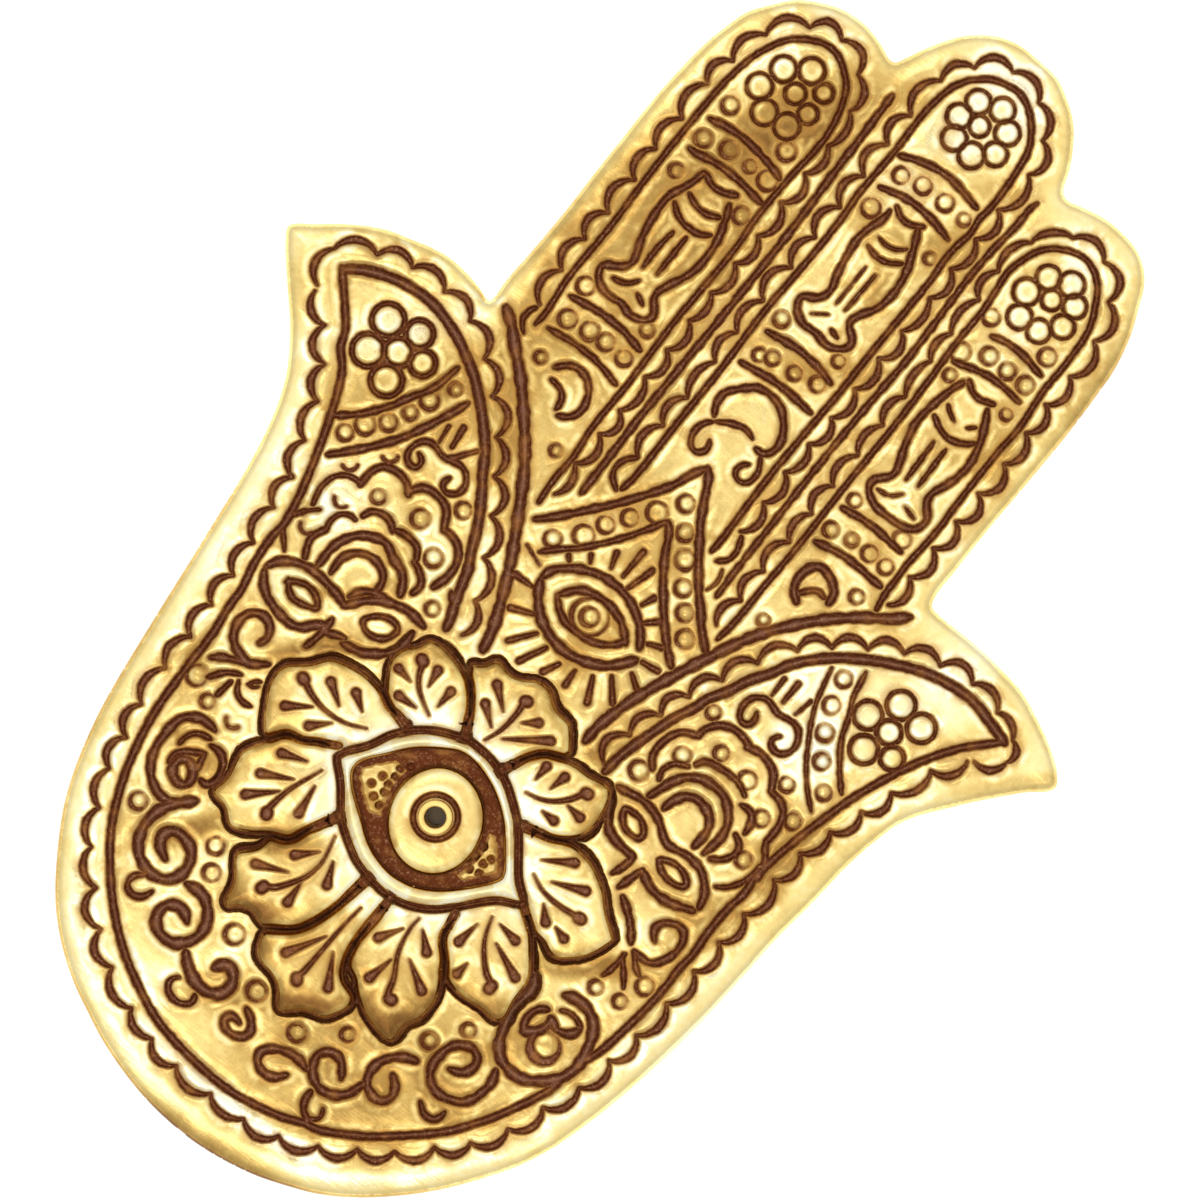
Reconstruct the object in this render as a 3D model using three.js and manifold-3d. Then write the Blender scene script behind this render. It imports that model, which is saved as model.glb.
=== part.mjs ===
// Hamsa incense holder: a cast brass hand-shaped plate that lies flat, palm up,
// with a raised lotus on the palm. The eye in the lotus carries a tubular
// rivet whose bore takes an incense stick. Millimetres, +Z up, fingers to +Y,
// origin on the table under the middle of the plate.

import * as THREE from "three";
import { mergeVertices } from "three/addons/utils/BufferGeometryUtils.js";
import Module from "manifold-3d";

const wasm = await Module();
wasm.setup();

// ---- driving dimensions -------------------------------------------------
const PAD_T = 1.2; // felt foot thickness
const PAD_R = 4.5; // felt foot radius
const PLATE_T = 2.6; // plate thickness
const PLATE_EDGE = 0.6; // rounding of the plate's edge
const SEAT_R = 8.0; // register hole in the palm
const SPIGOT_R = 7.6; // spigot under the lotus
const LEAF_T = 0.65; // lotus base leaf
const PETAL_TOP = 5.35; // crown of the petals above the table
const PETAL_INSET = 0.32; // gap line between petals
const EYE_BED_Z = 4.7; // floor of the eye
const LID_TOP = 6.25; // crown of the eyelid ring
const LID_EDGE = 0.35;
const IRIS_R = 4.6;
const IRIS_TOP = 6.1;
const STICK_R = 1.0; // bore for the stick
const TUBE_R = 1.32; // outside of the rivet tube
const FLANGE_R = 1.66; // rolled lip round the pupil
const FLANGE_T = 0.5;
const CLEAR_R = 1.64; // holes that the tube passes through
const BOSS_BORE_R = 2.8; // wider bore in the lotus, hidden under the iris
const WASHER_R = 10.0;
const WASHER_T = 0.4;
const SWAGE_R = 2.3; // spread lower end of the rivet
const SWAGE_T = 0.4;
const GAP = 0.05; // between pieces that bear on each other
const GROOVE_W = 0.9; // lines that part the fingers
const GROOVE_D = 0.55;
const EYE = [0.66, -26.58]; // axis of the stick bore
const FEET = [
  ["foot_pad_palm_left", -21.5, -42.5],
  ["foot_pad_palm_right", 21.5, -42.5],
  ["foot_pad_finger_left", -16.6, 44.0],
  ["foot_pad_finger_right", 17.0, 44.0],
];

// ---- outlines, seen from above ------------------------------------------
const pts = (t) => t.trim().split(/\s+/).map((p) => p.split(",").map(Number));

const HAND = pts(`-45.25,8.67 -43.15,10.51 -41.05,12.18 -37.81,14.10 -35.35,14.88 -33.18,15.50
 -31.34,15.78 -29.87,15.74 -28.40,15.53 -27.12,15.23 -25.79,14.90 -25.77,17.56 -25.56,21.59
 -25.45,26.31 -25.50,30.25 -25.50,34.53 -25.50,38.96 -25.32,42.81 -24.91,46.71 -24.36,49.31
 -23.64,51.66 -22.40,53.46 -20.75,55.41 -18.53,56.80 -16.73,57.49 -15.02,57.73 -13.32,57.60
 -11.49,57.09 -10.24,56.57 -9.61,56.63 -9.07,57.60 -8.18,59.43 -7.10,61.25 -5.96,62.77
 -4.57,63.99 -2.94,64.86 -0.98,65.31 1.33,65.27 3.55,65.01 5.42,64.04 7.19,62.76 8.81,60.72
 9.89,58.72 10.45,57.22 10.88,56.67 11.60,56.52 13.01,56.93 15.31,57.38 17.69,57.31 19.71,56.84
 21.21,55.90 22.26,54.62 23.03,52.95 24.23,49.90 24.96,46.61 25.15,43.60 25.25,40.40 25.25,37.21
 25.18,34.71 25.12,31.87 25.02,29.03 24.95,25.58 24.96,22.32 24.97,19.15 25.33,18.21 26.38,17.98
 28.55,17.98 31.33,17.95 34.29,17.61 37.22,17.11 40.15,15.88 42.65,14.57 44.41,13.27 45.25,12.05
 44.92,11.27 43.53,10.09 42.12,8.58 39.91,6.00 38.60,4.33 37.67,3.16 36.52,1.57 35.58,-0.28
 34.98,-2.48 34.58,-4.44 34.26,-6.73 33.96,-10.26 33.65,-12.94 33.34,-15.62 33.12,-19.66
 32.84,-23.96 32.60,-26.67 32.09,-30.66 31.35,-35.17 30.70,-38.49 29.89,-41.70 29.11,-44.24
 27.53,-47.86 25.63,-50.91 23.77,-53.43 22.24,-55.25 20.36,-57.19 17.53,-59.67 14.42,-61.74
 11.70,-62.98 8.16,-64.25 4.61,-65.00 1.21,-65.31 -1.82,-65.25 -4.27,-64.97 -6.69,-64.47
 -9.22,-63.77 -11.55,-62.93 -13.68,-61.95 -16.37,-60.65 -19.15,-58.84 -21.33,-57.00
 -23.02,-55.20 -24.74,-52.91 -26.48,-50.21 -27.91,-47.61 -29.03,-44.84 -29.96,-41.77
 -30.68,-38.68 -31.21,-35.41 -31.66,-32.05 -32.05,-28.77 -32.32,-26.33 -32.94,-20.75
 -33.21,-18.62 -33.49,-16.28 -33.85,-13.27 -34.45,-9.57 -35.13,-6.66 -35.86,-4.33 -36.73,-2.40
 -37.88,-0.58 -39.27,1.33 -41.12,3.36 -42.99,5.41 -44.42,7.10`);

const LID_OUT = pts(`-10.55,-27.92 -9.00,-25.73 -7.68,-23.10 -5.81,-21.02 -3.59,-19.38 -1.10,-18.38
 1.98,-18.74 4.87,-20.09 7.46,-22.29 9.67,-24.92 12.45,-27.82 9.90,-29.36 7.83,-31.96 6.02,-34.12
 3.42,-35.45 0.70,-35.54 -2.08,-34.94 -4.18,-33.82 -7.07,-31.24`);
const LID_IN = pts(`-8.08,-27.67 -6.70,-25.73 -5.02,-23.55 -3.09,-21.54 -0.99,-20.36 0.53,-20.13
 2.70,-20.72 5.17,-22.16 7.35,-24.45 9.19,-27.24 7.32,-29.33 5.17,-31.52 1.85,-32.69 -1.00,-32.63
 -3.44,-31.53 -6.08,-29.73`);

const PETALS = [
  pts(`-10.52,-27.65 -14.78,-28.72 -16.97,-30.40 -18.19,-29.47 -19.19,-27.59 -19.82,-25.42 -19.45,-24.04
   -17.67,-22.14 -15.92,-20.52 -13.91,-20.14 -11.61,-20.14 -9.04,-21.39 -6.96,-21.56`),
  pts(`-10.93,-27.74 -13.60,-28.52 -15.97,-29.66 -17.53,-31.99 -18.05,-34.10 -17.84,-37.58 -15.35,-38.89
   -13.97,-39.25 -11.60,-38.72 -9.44,-37.00 -8.04,-34.93 -7.16,-33.13`),
  pts(`-7.04,-33.28 -9.38,-37.08 -11.65,-39.73 -12.46,-40.85 -11.49,-42.39 -9.80,-45.91 -7.85,-45.46
   -5.54,-44.85 -3.37,-43.13 -2.05,-40.51 -1.28,-37.95 -0.97,-35.89`),
  pts(`-1.44,-38.81 -3.37,-43.13 -6.28,-45.44 -4.81,-47.30 -2.82,-48.28 0.22,-50.74 3.02,-48.76
   4.87,-48.03 5.97,-46.19 5.41,-45.17 3.60,-43.81 2.24,-41.48 1.74,-38.85 1.88,-36.42`),
  pts(`2.03,-36.30 1.53,-38.28 1.89,-41.03 3.19,-43.29 5.17,-44.87 7.50,-45.82 10.91,-46.29 11.09,-44.68
   11.60,-42.10 11.39,-38.62 9.65,-36.72 8.14,-35.12 7.81,-33.32 8.11,-31.86`),
  pts(`8.11,-31.86 7.81,-33.32 8.14,-35.12 9.65,-36.72 11.78,-38.80 13.67,-38.88 15.74,-38.58 17.46,-38.92
   17.62,-35.75 17.34,-32.94 16.52,-31.28 14.74,-29.65 13.02,-28.70 11.43,-28.38`),
  pts(`9.62,-24.71 12.40,-27.61 14.60,-29.16 16.75,-30.49 17.97,-30.50 19.57,-28.99 20.72,-26.62
   21.58,-25.09 18.73,-23.33 17.30,-21.68 15.19,-20.55 13.19,-20.32 10.70,-21.31 8.92,-21.99`),
  pts(`3.32,-18.28 4.09,-16.34 6.07,-15.01 8.21,-14.18 10.33,-13.95 12.07,-14.15 12.87,-16.07 12.99,-18.53
   12.43,-20.43 10.47,-21.49 7.84,-22.00`),
  pts(`-2.39,-18.43 -3.11,-16.45 -4.82,-14.28 -5.60,-13.13 -4.20,-11.24 -2.44,-11.31 0.33,-10.21 1.82,-10.24
   5.13,-11.51 6.37,-12.47 7.00,-14.13 4.25,-16.09 3.10,-18.46`),
  pts(`-6.96,-21.56 -9.53,-20.31 -11.10,-19.25 -11.57,-18.04 -11.56,-16.21 -10.76,-14.61 -9.64,-13.72
   -7.99,-13.51 -6.03,-14.14 -4.10,-15.66 -2.75,-17.98`),
];

const GROOVES = [
  pts("-7.62,5.8 -7.72,54.0"),
  pts("8.98,6.1 9.18,54.4"),
  pts("-24.2,15.0 -21.0,12.2 -17.0,9.4 -13.4,4.8 -10.5,0.0 -7.6,-6.0 -5.6,-10.6"),
  pts("24.3,16.2 21.0,13.6 17.7,10.6 14.2,6.0 11.0,0.8 8.9,-6.0 7.5,-11.8"),
];

// ---- helpers -------------------------------------------------------------
const area = (p) =>
  p.reduce((s, [x, y], i) => {
    const [u, v] = p[(i + 1) % p.length];
    return s + (x * v - u * y) / 2;
  }, 0);

const ccw = (p) => (area(p) < 0 ? [...p].reverse() : p);

// Moves every corner of an outline along its mean normal; positive d grows it.
function grown(p, d) {
  const q = ccw(p);
  return q.map(([x, y], i) => {
    const [ax, ay] = q[(i + q.length - 1) % q.length];
    const [bx, by] = q[(i + 1) % q.length];
    const n1 = new THREE.Vector2(y - ay, ax - x).normalize();
    const n2 = new THREE.Vector2(by - y, x - bx).normalize();
    const n = n1.clone().add(n2).normalize();
    const k = Math.min(1 / Math.max(n.dot(n1), 0.55), 1.6);
    return [x + n.x * d * k, y + n.y * d * k];
  });
}

const shapeOf = (p, holes = []) => {
  const s = new THREE.Shape(ccw(p).map(([x, y]) => new THREE.Vector2(x, y)));
  for (const h of holes)
    s.holes.push(new THREE.Path([...ccw(h)].reverse().map(([x, y]) => new THREE.Vector2(x, y))));
  return s;
};

// A slab between two heights, its edges rounded over by edge at both faces.
function slab(p, z0, z1, edge = 0, steps = 2, holes = []) {
  const g = new THREE.ExtrudeGeometry(shapeOf(p, holes), {
    depth: z1 - z0 - 2 * edge,
    bevelEnabled: edge > 0,
    bevelThickness: edge,
    bevelSize: edge,
    bevelOffset: -edge,
    bevelSegments: steps,
    curveSegments: 1,
  });
  g.translate(0, 0, z0 + edge);
  return g;
}

// A body of revolution about a vertical axis; the profile is [radius, height].
function turned(profile, cx, cy, sides) {
  const g = new THREE.LatheGeometry(profile.map(([r, z]) => new THREE.Vector2(r, z)), sides);
  g.rotateX(Math.PI / 2);
  g.translate(cx, cy, 0);
  return g;
}

const bare = (g) => {
  let b = g.index ? g.toNonIndexed() : g.clone();
  b.deleteAttribute("normal");
  b.deleteAttribute("uv");
  b = mergeVertices(b, 1e-4);
  const idx = b.index.array;
  const keep = [];
  for (let i = 0; i < idx.length; i += 3)
    if (idx[i] !== idx[i + 1] && idx[i + 1] !== idx[i + 2] && idx[i] !== idx[i + 2])
      keep.push(idx[i], idx[i + 1], idx[i + 2]);
  b.setIndex(keep);
  return b;
};

const solid = (g) => {
  const b = bare(g);
  return new wasm.Manifold(
    new wasm.Mesh({
      numProp: 3,
      vertProperties: new Float32Array(b.attributes.position.array),
      triVerts: new Uint32Array(b.index.array),
    }),
  );
};

const geometryOf = (m) => {
  const { vertProperties, triVerts } = m.getMesh();
  const g = new THREE.BufferGeometry();
  g.setAttribute("position", new THREE.BufferAttribute(new Float32Array(vertProperties), 3));
  g.setIndex(new THREE.BufferAttribute(new Uint32Array(triVerts), 1));
  return g;
};

const strip = (line, w) => {
  const left = [];
  const right = [];
  line.forEach(([x, y], i) => {
    const [ax, ay] = line[Math.max(i - 1, 0)];
    const [bx, by] = line[Math.min(i + 1, line.length - 1)];
    const n = new THREE.Vector2(by - ay, ax - bx).normalize().multiplyScalar(w / 2);
    left.push([x - n.x, y - n.y]);
    right.push([x + n.x, y + n.y]);
  });
  return [...left, ...right.reverse()];
};

const rod = (r, z0, z1, sides) =>
  turned([[0, z0], [r, z0], [r, z1], [0, z1]], EYE[0], EYE[1], sides);

// ---- pieces --------------------------------------------------------------
const brass = new THREE.MeshStandardMaterial({ color: 0xd9b25a, roughness: 0.3, metalness: 1.0 });
const brassDark = new THREE.MeshStandardMaterial({ color: 0xb98f42, roughness: 0.4, metalness: 1.0 });
const felt = new THREE.MeshStandardMaterial({ color: 0x2e2520, roughness: 0.95, metalness: 0.0 });

const holder = new THREE.Group();
const add = (name, geometry, material) => {
  const m = new THREE.Mesh(geometry, material);
  m.name = name;
  holder.add(m);
};

const plateBottom = PAD_T;
const plateTop = PAD_T + PLATE_T;

// The cast hand: rounded edge, register hole under the lotus, parting lines.
let plate = solid(slab(HAND, plateBottom, plateTop, PLATE_EDGE, 2));
plate = plate.subtract(solid(rod(SEAT_R, plateBottom - 1, plateTop + 1, 32)));
for (const g of GROOVES)
  plate = plate.subtract(solid(slab(strip(g, GROOVE_W), plateTop - GROOVE_D, plateTop + 1)));
add("hand_plate", geometryOf(plate), brass);

// The lotus: one leaf with ten petals on it, a bed for the eye, and a spigot.
let lotus = solid(slab(grown(LID_OUT, 0.9), plateTop + GAP, PETAL_TOP - 0.15, 0.15, 1));
for (const p of PETALS) {
  lotus = lotus.add(solid(slab(p, plateTop + GAP, plateTop + GAP + LEAF_T)));
  lotus = lotus.add(solid(slab(grown(p, -PETAL_INSET), plateTop + GAP + 0.2, PETAL_TOP, 0.3, 1)));
}
lotus = lotus.subtract(solid(slab(grown(LID_OUT, 0.15), EYE_BED_Z, PETAL_TOP + 1)));
lotus = lotus.add(solid(rod(SPIGOT_R, plateBottom, plateTop + GAP + 0.3, 32)));
lotus = lotus.subtract(solid(rod(BOSS_BORE_R, plateBottom - 1, PETAL_TOP + 2, 24)));
add("lotus_boss", geometryOf(lotus), brass);

// The almond eyelid ring that frames the eye.
add("eyelid_ring", bare(slab(LID_OUT, EYE_BED_Z + GAP, LID_TOP, LID_EDGE, 2, [LID_IN])), brass);

// The domed iris, pierced for the tube.
add(
  "iris_dome",
  bare(
    turned(
      [
        [CLEAR_R, EYE_BED_Z + GAP],
        [IRIS_R, EYE_BED_Z + GAP],
        [IRIS_R, EYE_BED_Z + 0.45],
        [IRIS_R - 0.45, IRIS_TOP - 0.45],
        [IRIS_R - 1.3, IRIS_TOP - 0.15],
        [IRIS_R - 2.3, IRIS_TOP],
        [CLEAR_R, IRIS_TOP],
        [CLEAR_R, EYE_BED_Z + GAP],
      ],
      EYE[0],
      EYE[1],
      32,
    ),
  ),
  brass,
);

// The tubular rivet: lip round the pupil, tube through the stack, spread end.
const lipZ = IRIS_TOP + GAP;
const washerZ0 = plateBottom - GAP - WASHER_T;
const swageZ1 = washerZ0 - GAP;
add(
  "stick_socket",
  bare(
    turned(
      [
        [STICK_R, swageZ1 - SWAGE_T],
        [SWAGE_R - 0.2, swageZ1 - SWAGE_T],
        [SWAGE_R, swageZ1 - SWAGE_T + 0.15],
        [SWAGE_R, swageZ1],
        [TUBE_R, swageZ1],
        [TUBE_R, lipZ],
        [FLANGE_R, lipZ],
        [FLANGE_R, lipZ + FLANGE_T - 0.2],
        [FLANGE_R - 0.2, lipZ + FLANGE_T],
        [STICK_R + 0.15, lipZ + FLANGE_T],
        [STICK_R, lipZ + FLANGE_T - 0.15],
        [STICK_R, swageZ1 - SWAGE_T],
      ],
      EYE[0],
      EYE[1],
      24,
    ),
  ),
  brass,
);

// The washer that bears on the back of the plate round the register hole.
add(
  "back_washer",
  bare(
    turned(
      [
        [CLEAR_R, washerZ0],
        [WASHER_R, washerZ0],
        [WASHER_R, washerZ0 + WASHER_T],
        [CLEAR_R, washerZ0 + WASHER_T],
        [CLEAR_R, washerZ0],
      ],
      EYE[0],
      EYE[1],
      32,
    ),
  ),
  brassDark,
);

// Four felt feet keep the spread rivet end off the table.
for (const [name, x, y] of FEET)
  add(
    name,
    bare(
      turned(
        [
          [0, 0],
          [PAD_R - 0.1, 0],
          [PAD_R, 0.1],
          [PAD_R, PAD_T - GAP],
          [0, PAD_T - GAP],
        ],
        x,
        y,
        24,
      ),
    ),
    felt,
  );

export default holder;
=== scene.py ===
"""Looks of the hamsa incense holder: a cast brass hand with chased ornament.

All lengths in the data are millimetres in the part's own frame (+Y fingers,
+Z up, z = 0 on the table). Meshes are written in metres.
"""
import math

import bpy
import numpy as np
from mathutils import Matrix, Vector
from mathutils.geometry import delaunay_2d_cdt


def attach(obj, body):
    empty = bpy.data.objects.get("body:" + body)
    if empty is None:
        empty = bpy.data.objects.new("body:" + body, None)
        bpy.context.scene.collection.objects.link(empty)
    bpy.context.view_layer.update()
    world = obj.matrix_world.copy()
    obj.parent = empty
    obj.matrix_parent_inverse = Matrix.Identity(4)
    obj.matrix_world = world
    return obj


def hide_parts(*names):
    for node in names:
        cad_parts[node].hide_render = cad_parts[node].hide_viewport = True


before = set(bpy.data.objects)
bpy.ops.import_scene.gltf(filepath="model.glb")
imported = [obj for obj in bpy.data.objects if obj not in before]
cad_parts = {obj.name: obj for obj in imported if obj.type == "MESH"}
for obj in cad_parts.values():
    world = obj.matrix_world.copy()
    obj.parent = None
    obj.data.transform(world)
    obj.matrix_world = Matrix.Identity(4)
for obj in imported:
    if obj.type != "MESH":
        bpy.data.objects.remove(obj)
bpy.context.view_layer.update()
rng = np.random.default_rng(11)
PITCH = 0.12


def pts(t):
    return np.array([[float(v) for v in p.split(",")] for p in t.split()])


# outline of the hand
HAND = pts("""-45.25,8.67 -43.15,10.51 -41.05,12.18 -37.81,14.10 -35.35,14.88 -33.18,15.50 -31.34,15.78 -29.87,15.74
    -28.40,15.53 -27.12,15.23 -25.79,14.90 -25.77,17.56 -25.56,21.59 -25.45,26.31 -25.50,30.25 -25.50,34.53
    -25.50,38.96 -25.32,42.81 -24.91,46.71 -24.36,49.31 -23.64,51.66 -22.40,53.46 -20.75,55.41 -18.53,56.80
    -16.73,57.49 -15.02,57.73 -13.32,57.60 -11.49,57.09 -10.24,56.57 -9.61,56.63 -9.07,57.60 -8.18,59.43
    -7.10,61.25 -5.96,62.77 -4.57,63.99 -2.94,64.86 -0.98,65.31 1.33,65.27 3.55,65.01 5.42,64.04 7.19,62.76
    8.81,60.72 9.89,58.72 10.45,57.22 10.88,56.67 11.60,56.52 13.01,56.93 15.31,57.38 17.69,57.31 19.71,56.84
    21.21,55.90 22.26,54.62 23.03,52.95 24.23,49.90 24.96,46.61 25.15,43.60 25.25,40.40 25.25,37.21 25.18,34.71
    25.12,31.87 25.02,29.03 24.95,25.58 24.96,22.32 24.97,19.15 25.33,18.21 26.38,17.98 28.55,17.98 31.33,17.95
    34.29,17.61 37.22,17.11 40.15,15.88 42.65,14.57 44.41,13.27 45.25,12.05 44.92,11.27 43.53,10.09 42.12,8.58
    39.91,6.00 38.60,4.33 37.67,3.16 36.52,1.57 35.58,-0.28 34.98,-2.48 34.58,-4.44 34.26,-6.73 33.96,-10.26
    33.65,-12.94 33.34,-15.62 33.12,-19.66 32.84,-23.96 32.60,-26.67 32.09,-30.66 31.35,-35.17 30.70,-38.49
    29.89,-41.70 29.11,-44.24 27.53,-47.86 25.63,-50.91 23.77,-53.43 22.24,-55.25 20.36,-57.19 17.53,-59.67
    14.42,-61.74 11.70,-62.98 8.16,-64.25 4.61,-65.00 1.21,-65.31 -1.82,-65.25 -4.27,-64.97 -6.69,-64.47
    -9.22,-63.77 -11.55,-62.93 -13.68,-61.95 -16.37,-60.65 -19.15,-58.84 -21.33,-57.00 -23.02,-55.20
    -24.74,-52.91 -26.48,-50.21 -27.91,-47.61 -29.03,-44.84 -29.96,-41.77 -30.68,-38.68 -31.21,-35.41
    -31.66,-32.05 -32.05,-28.77 -32.32,-26.33 -32.94,-20.75 -33.21,-18.62 -33.49,-16.28 -33.85,-13.27
    -34.45,-9.57 -35.13,-6.66 -35.86,-4.33 -36.73,-2.40 -37.88,-0.58 -39.27,1.33 -41.12,3.36 -42.99,5.41
    -44.42,7.10""")
# border lines of palm, thumbs and fingers: width, course
RUNS = [
    (0.84, pts("""-38.70,8.70 -35.20,4.84 -34.66,4.05 -34.07,2.63 -32.98,1.52 -32.35,0.58 -30.89,-2.74 -28.75,-9.45
        -28.06,-12.48 -27.87,-14.12 -28.02,-15.28 -27.78,-18.52 -27.16,-21.32 -27.11,-23.23 -26.77,-25.87
        -26.68,-30.25 -26.48,-34.81 -26.07,-37.63 -24.80,-42.40 -22.77,-46.72 -20.50,-49.77 -17.29,-53.05
        -14.56,-55.13 -12.23,-56.46 -8.77,-58.03 -5.97,-58.73 -1.61,-59.23 1.81,-59.21 5.36,-58.54 7.37,-57.95
        8.95,-57.25 10.26,-56.96 14.23,-54.67 15.15,-53.98 19.67,-49.87 21.88,-46.94 23.17,-44.79 25.19,-40.43
        25.46,-38.89 26.20,-35.91 26.74,-34.48 27.01,-32.97 27.63,-28.62 27.80,-25.77 27.74,-23.70 27.93,-21.98
        27.76,-19.12 27.86,-16.13 28.20,-14.26 28.02,-12.90 28.13,-11.38 28.63,-8.41 29.88,-3.24 30.83,-0.16
        33.14,5.26 35.45,8.98 38.36,12.13""")),
    (1.05, pts("""38.70,12.29 34.24,13.48 32.54,13.55 30.51,13.29 28.30,12.72 25.69,11.56 23.53,10.37 20.73,8.38 18.10,5.49
        17.38,4.05 15.85,1.69 15.00,-0.27 13.97,-1.89 13.60,-3.20 12.70,-5.09 12.03,-7.07 10.80,-11.43 10.61,-13.40""")),
    (1.09, pts("""-9.68,-12.09 -9.90,-11.09 -10.50,-9.70 -11.56,-6.25 -12.30,-4.92 -13.22,-2.83 -14.97,0.11 -16.10,1.64
        -16.97,3.11 -18.58,4.97 -19.80,6.17 -22.13,8.12 -24.57,9.58 -26.47,10.44 -29.10,11.21 -30.43,11.36
        -33.07,11.12 -35.08,10.56 -37.14,9.61 -38.53,8.55""")),
    (0.67, pts("""-20.91,15.84 -20.84,17.24 -21.21,21.23 -21.10,27.71 -21.26,32.85 -21.29,37.04 -21.25,41.23 -21.05,45.42
        -20.46,48.64 -19.66,50.56 -18.76,52.01 -17.88,52.74 -16.19,53.65 -15.22,53.82 -14.07,53.59 -12.92,52.88
        -11.79,51.85 -11.04,50.31 -10.33,46.76 -10.69,40.68 -10.72,35.92 -10.55,34.21 -10.51,30.97 -10.71,24.88
        -10.64,20.69 -10.52,16.50 -10.62,11.55 -10.29,8.14 -10.41,5.27 -10.19,2.74""")),
    (0.71, pts("""-4.81,8.66 -4.59,9.68 -4.51,11.20 -4.53,17.30 -4.47,23.40 -4.64,30.83 -4.36,37.50 -4.37,41.89 -4.55,44.55
        -4.36,49.89 -4.45,54.28 -4.33,55.61 -4.11,56.94 -3.75,58.21 -2.92,59.60 -1.96,60.48 -1.04,61.08 1.08,61.55
        2.01,61.42 3.03,60.93 3.93,60.21 4.90,59.03 5.39,58.20 5.64,57.46 6.00,54.84 6.13,51.47 5.92,49.59 6.12,48.24
        5.84,46.53 5.74,44.81 5.90,42.71 5.88,39.09 5.77,34.32 5.75,29.36 5.60,24.41 5.47,19.45 5.51,15.07 5.63,10.68
        5.55,9.29""")),
    (0.67, pts("""11.19,3.07 11.45,5.22 11.55,9.80 11.69,14.36 11.67,21.78 11.78,29.40 11.69,34.53 11.51,39.86 11.59,43.29
        11.17,47.47 11.27,48.22 11.91,50.30 12.47,51.25 13.59,52.24 14.75,52.82 16.02,53.09 17.10,52.87 18.21,52.23
        18.93,51.45 20.25,49.00 20.63,47.96 20.79,46.85 20.89,43.43 20.83,40.95 21.21,36.39 21.07,34.29 21.03,27.64
        21.16,23.83 20.87,19.45 20.99,18.12 20.94,16.79 21.28,14.63""")),
]
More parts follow.
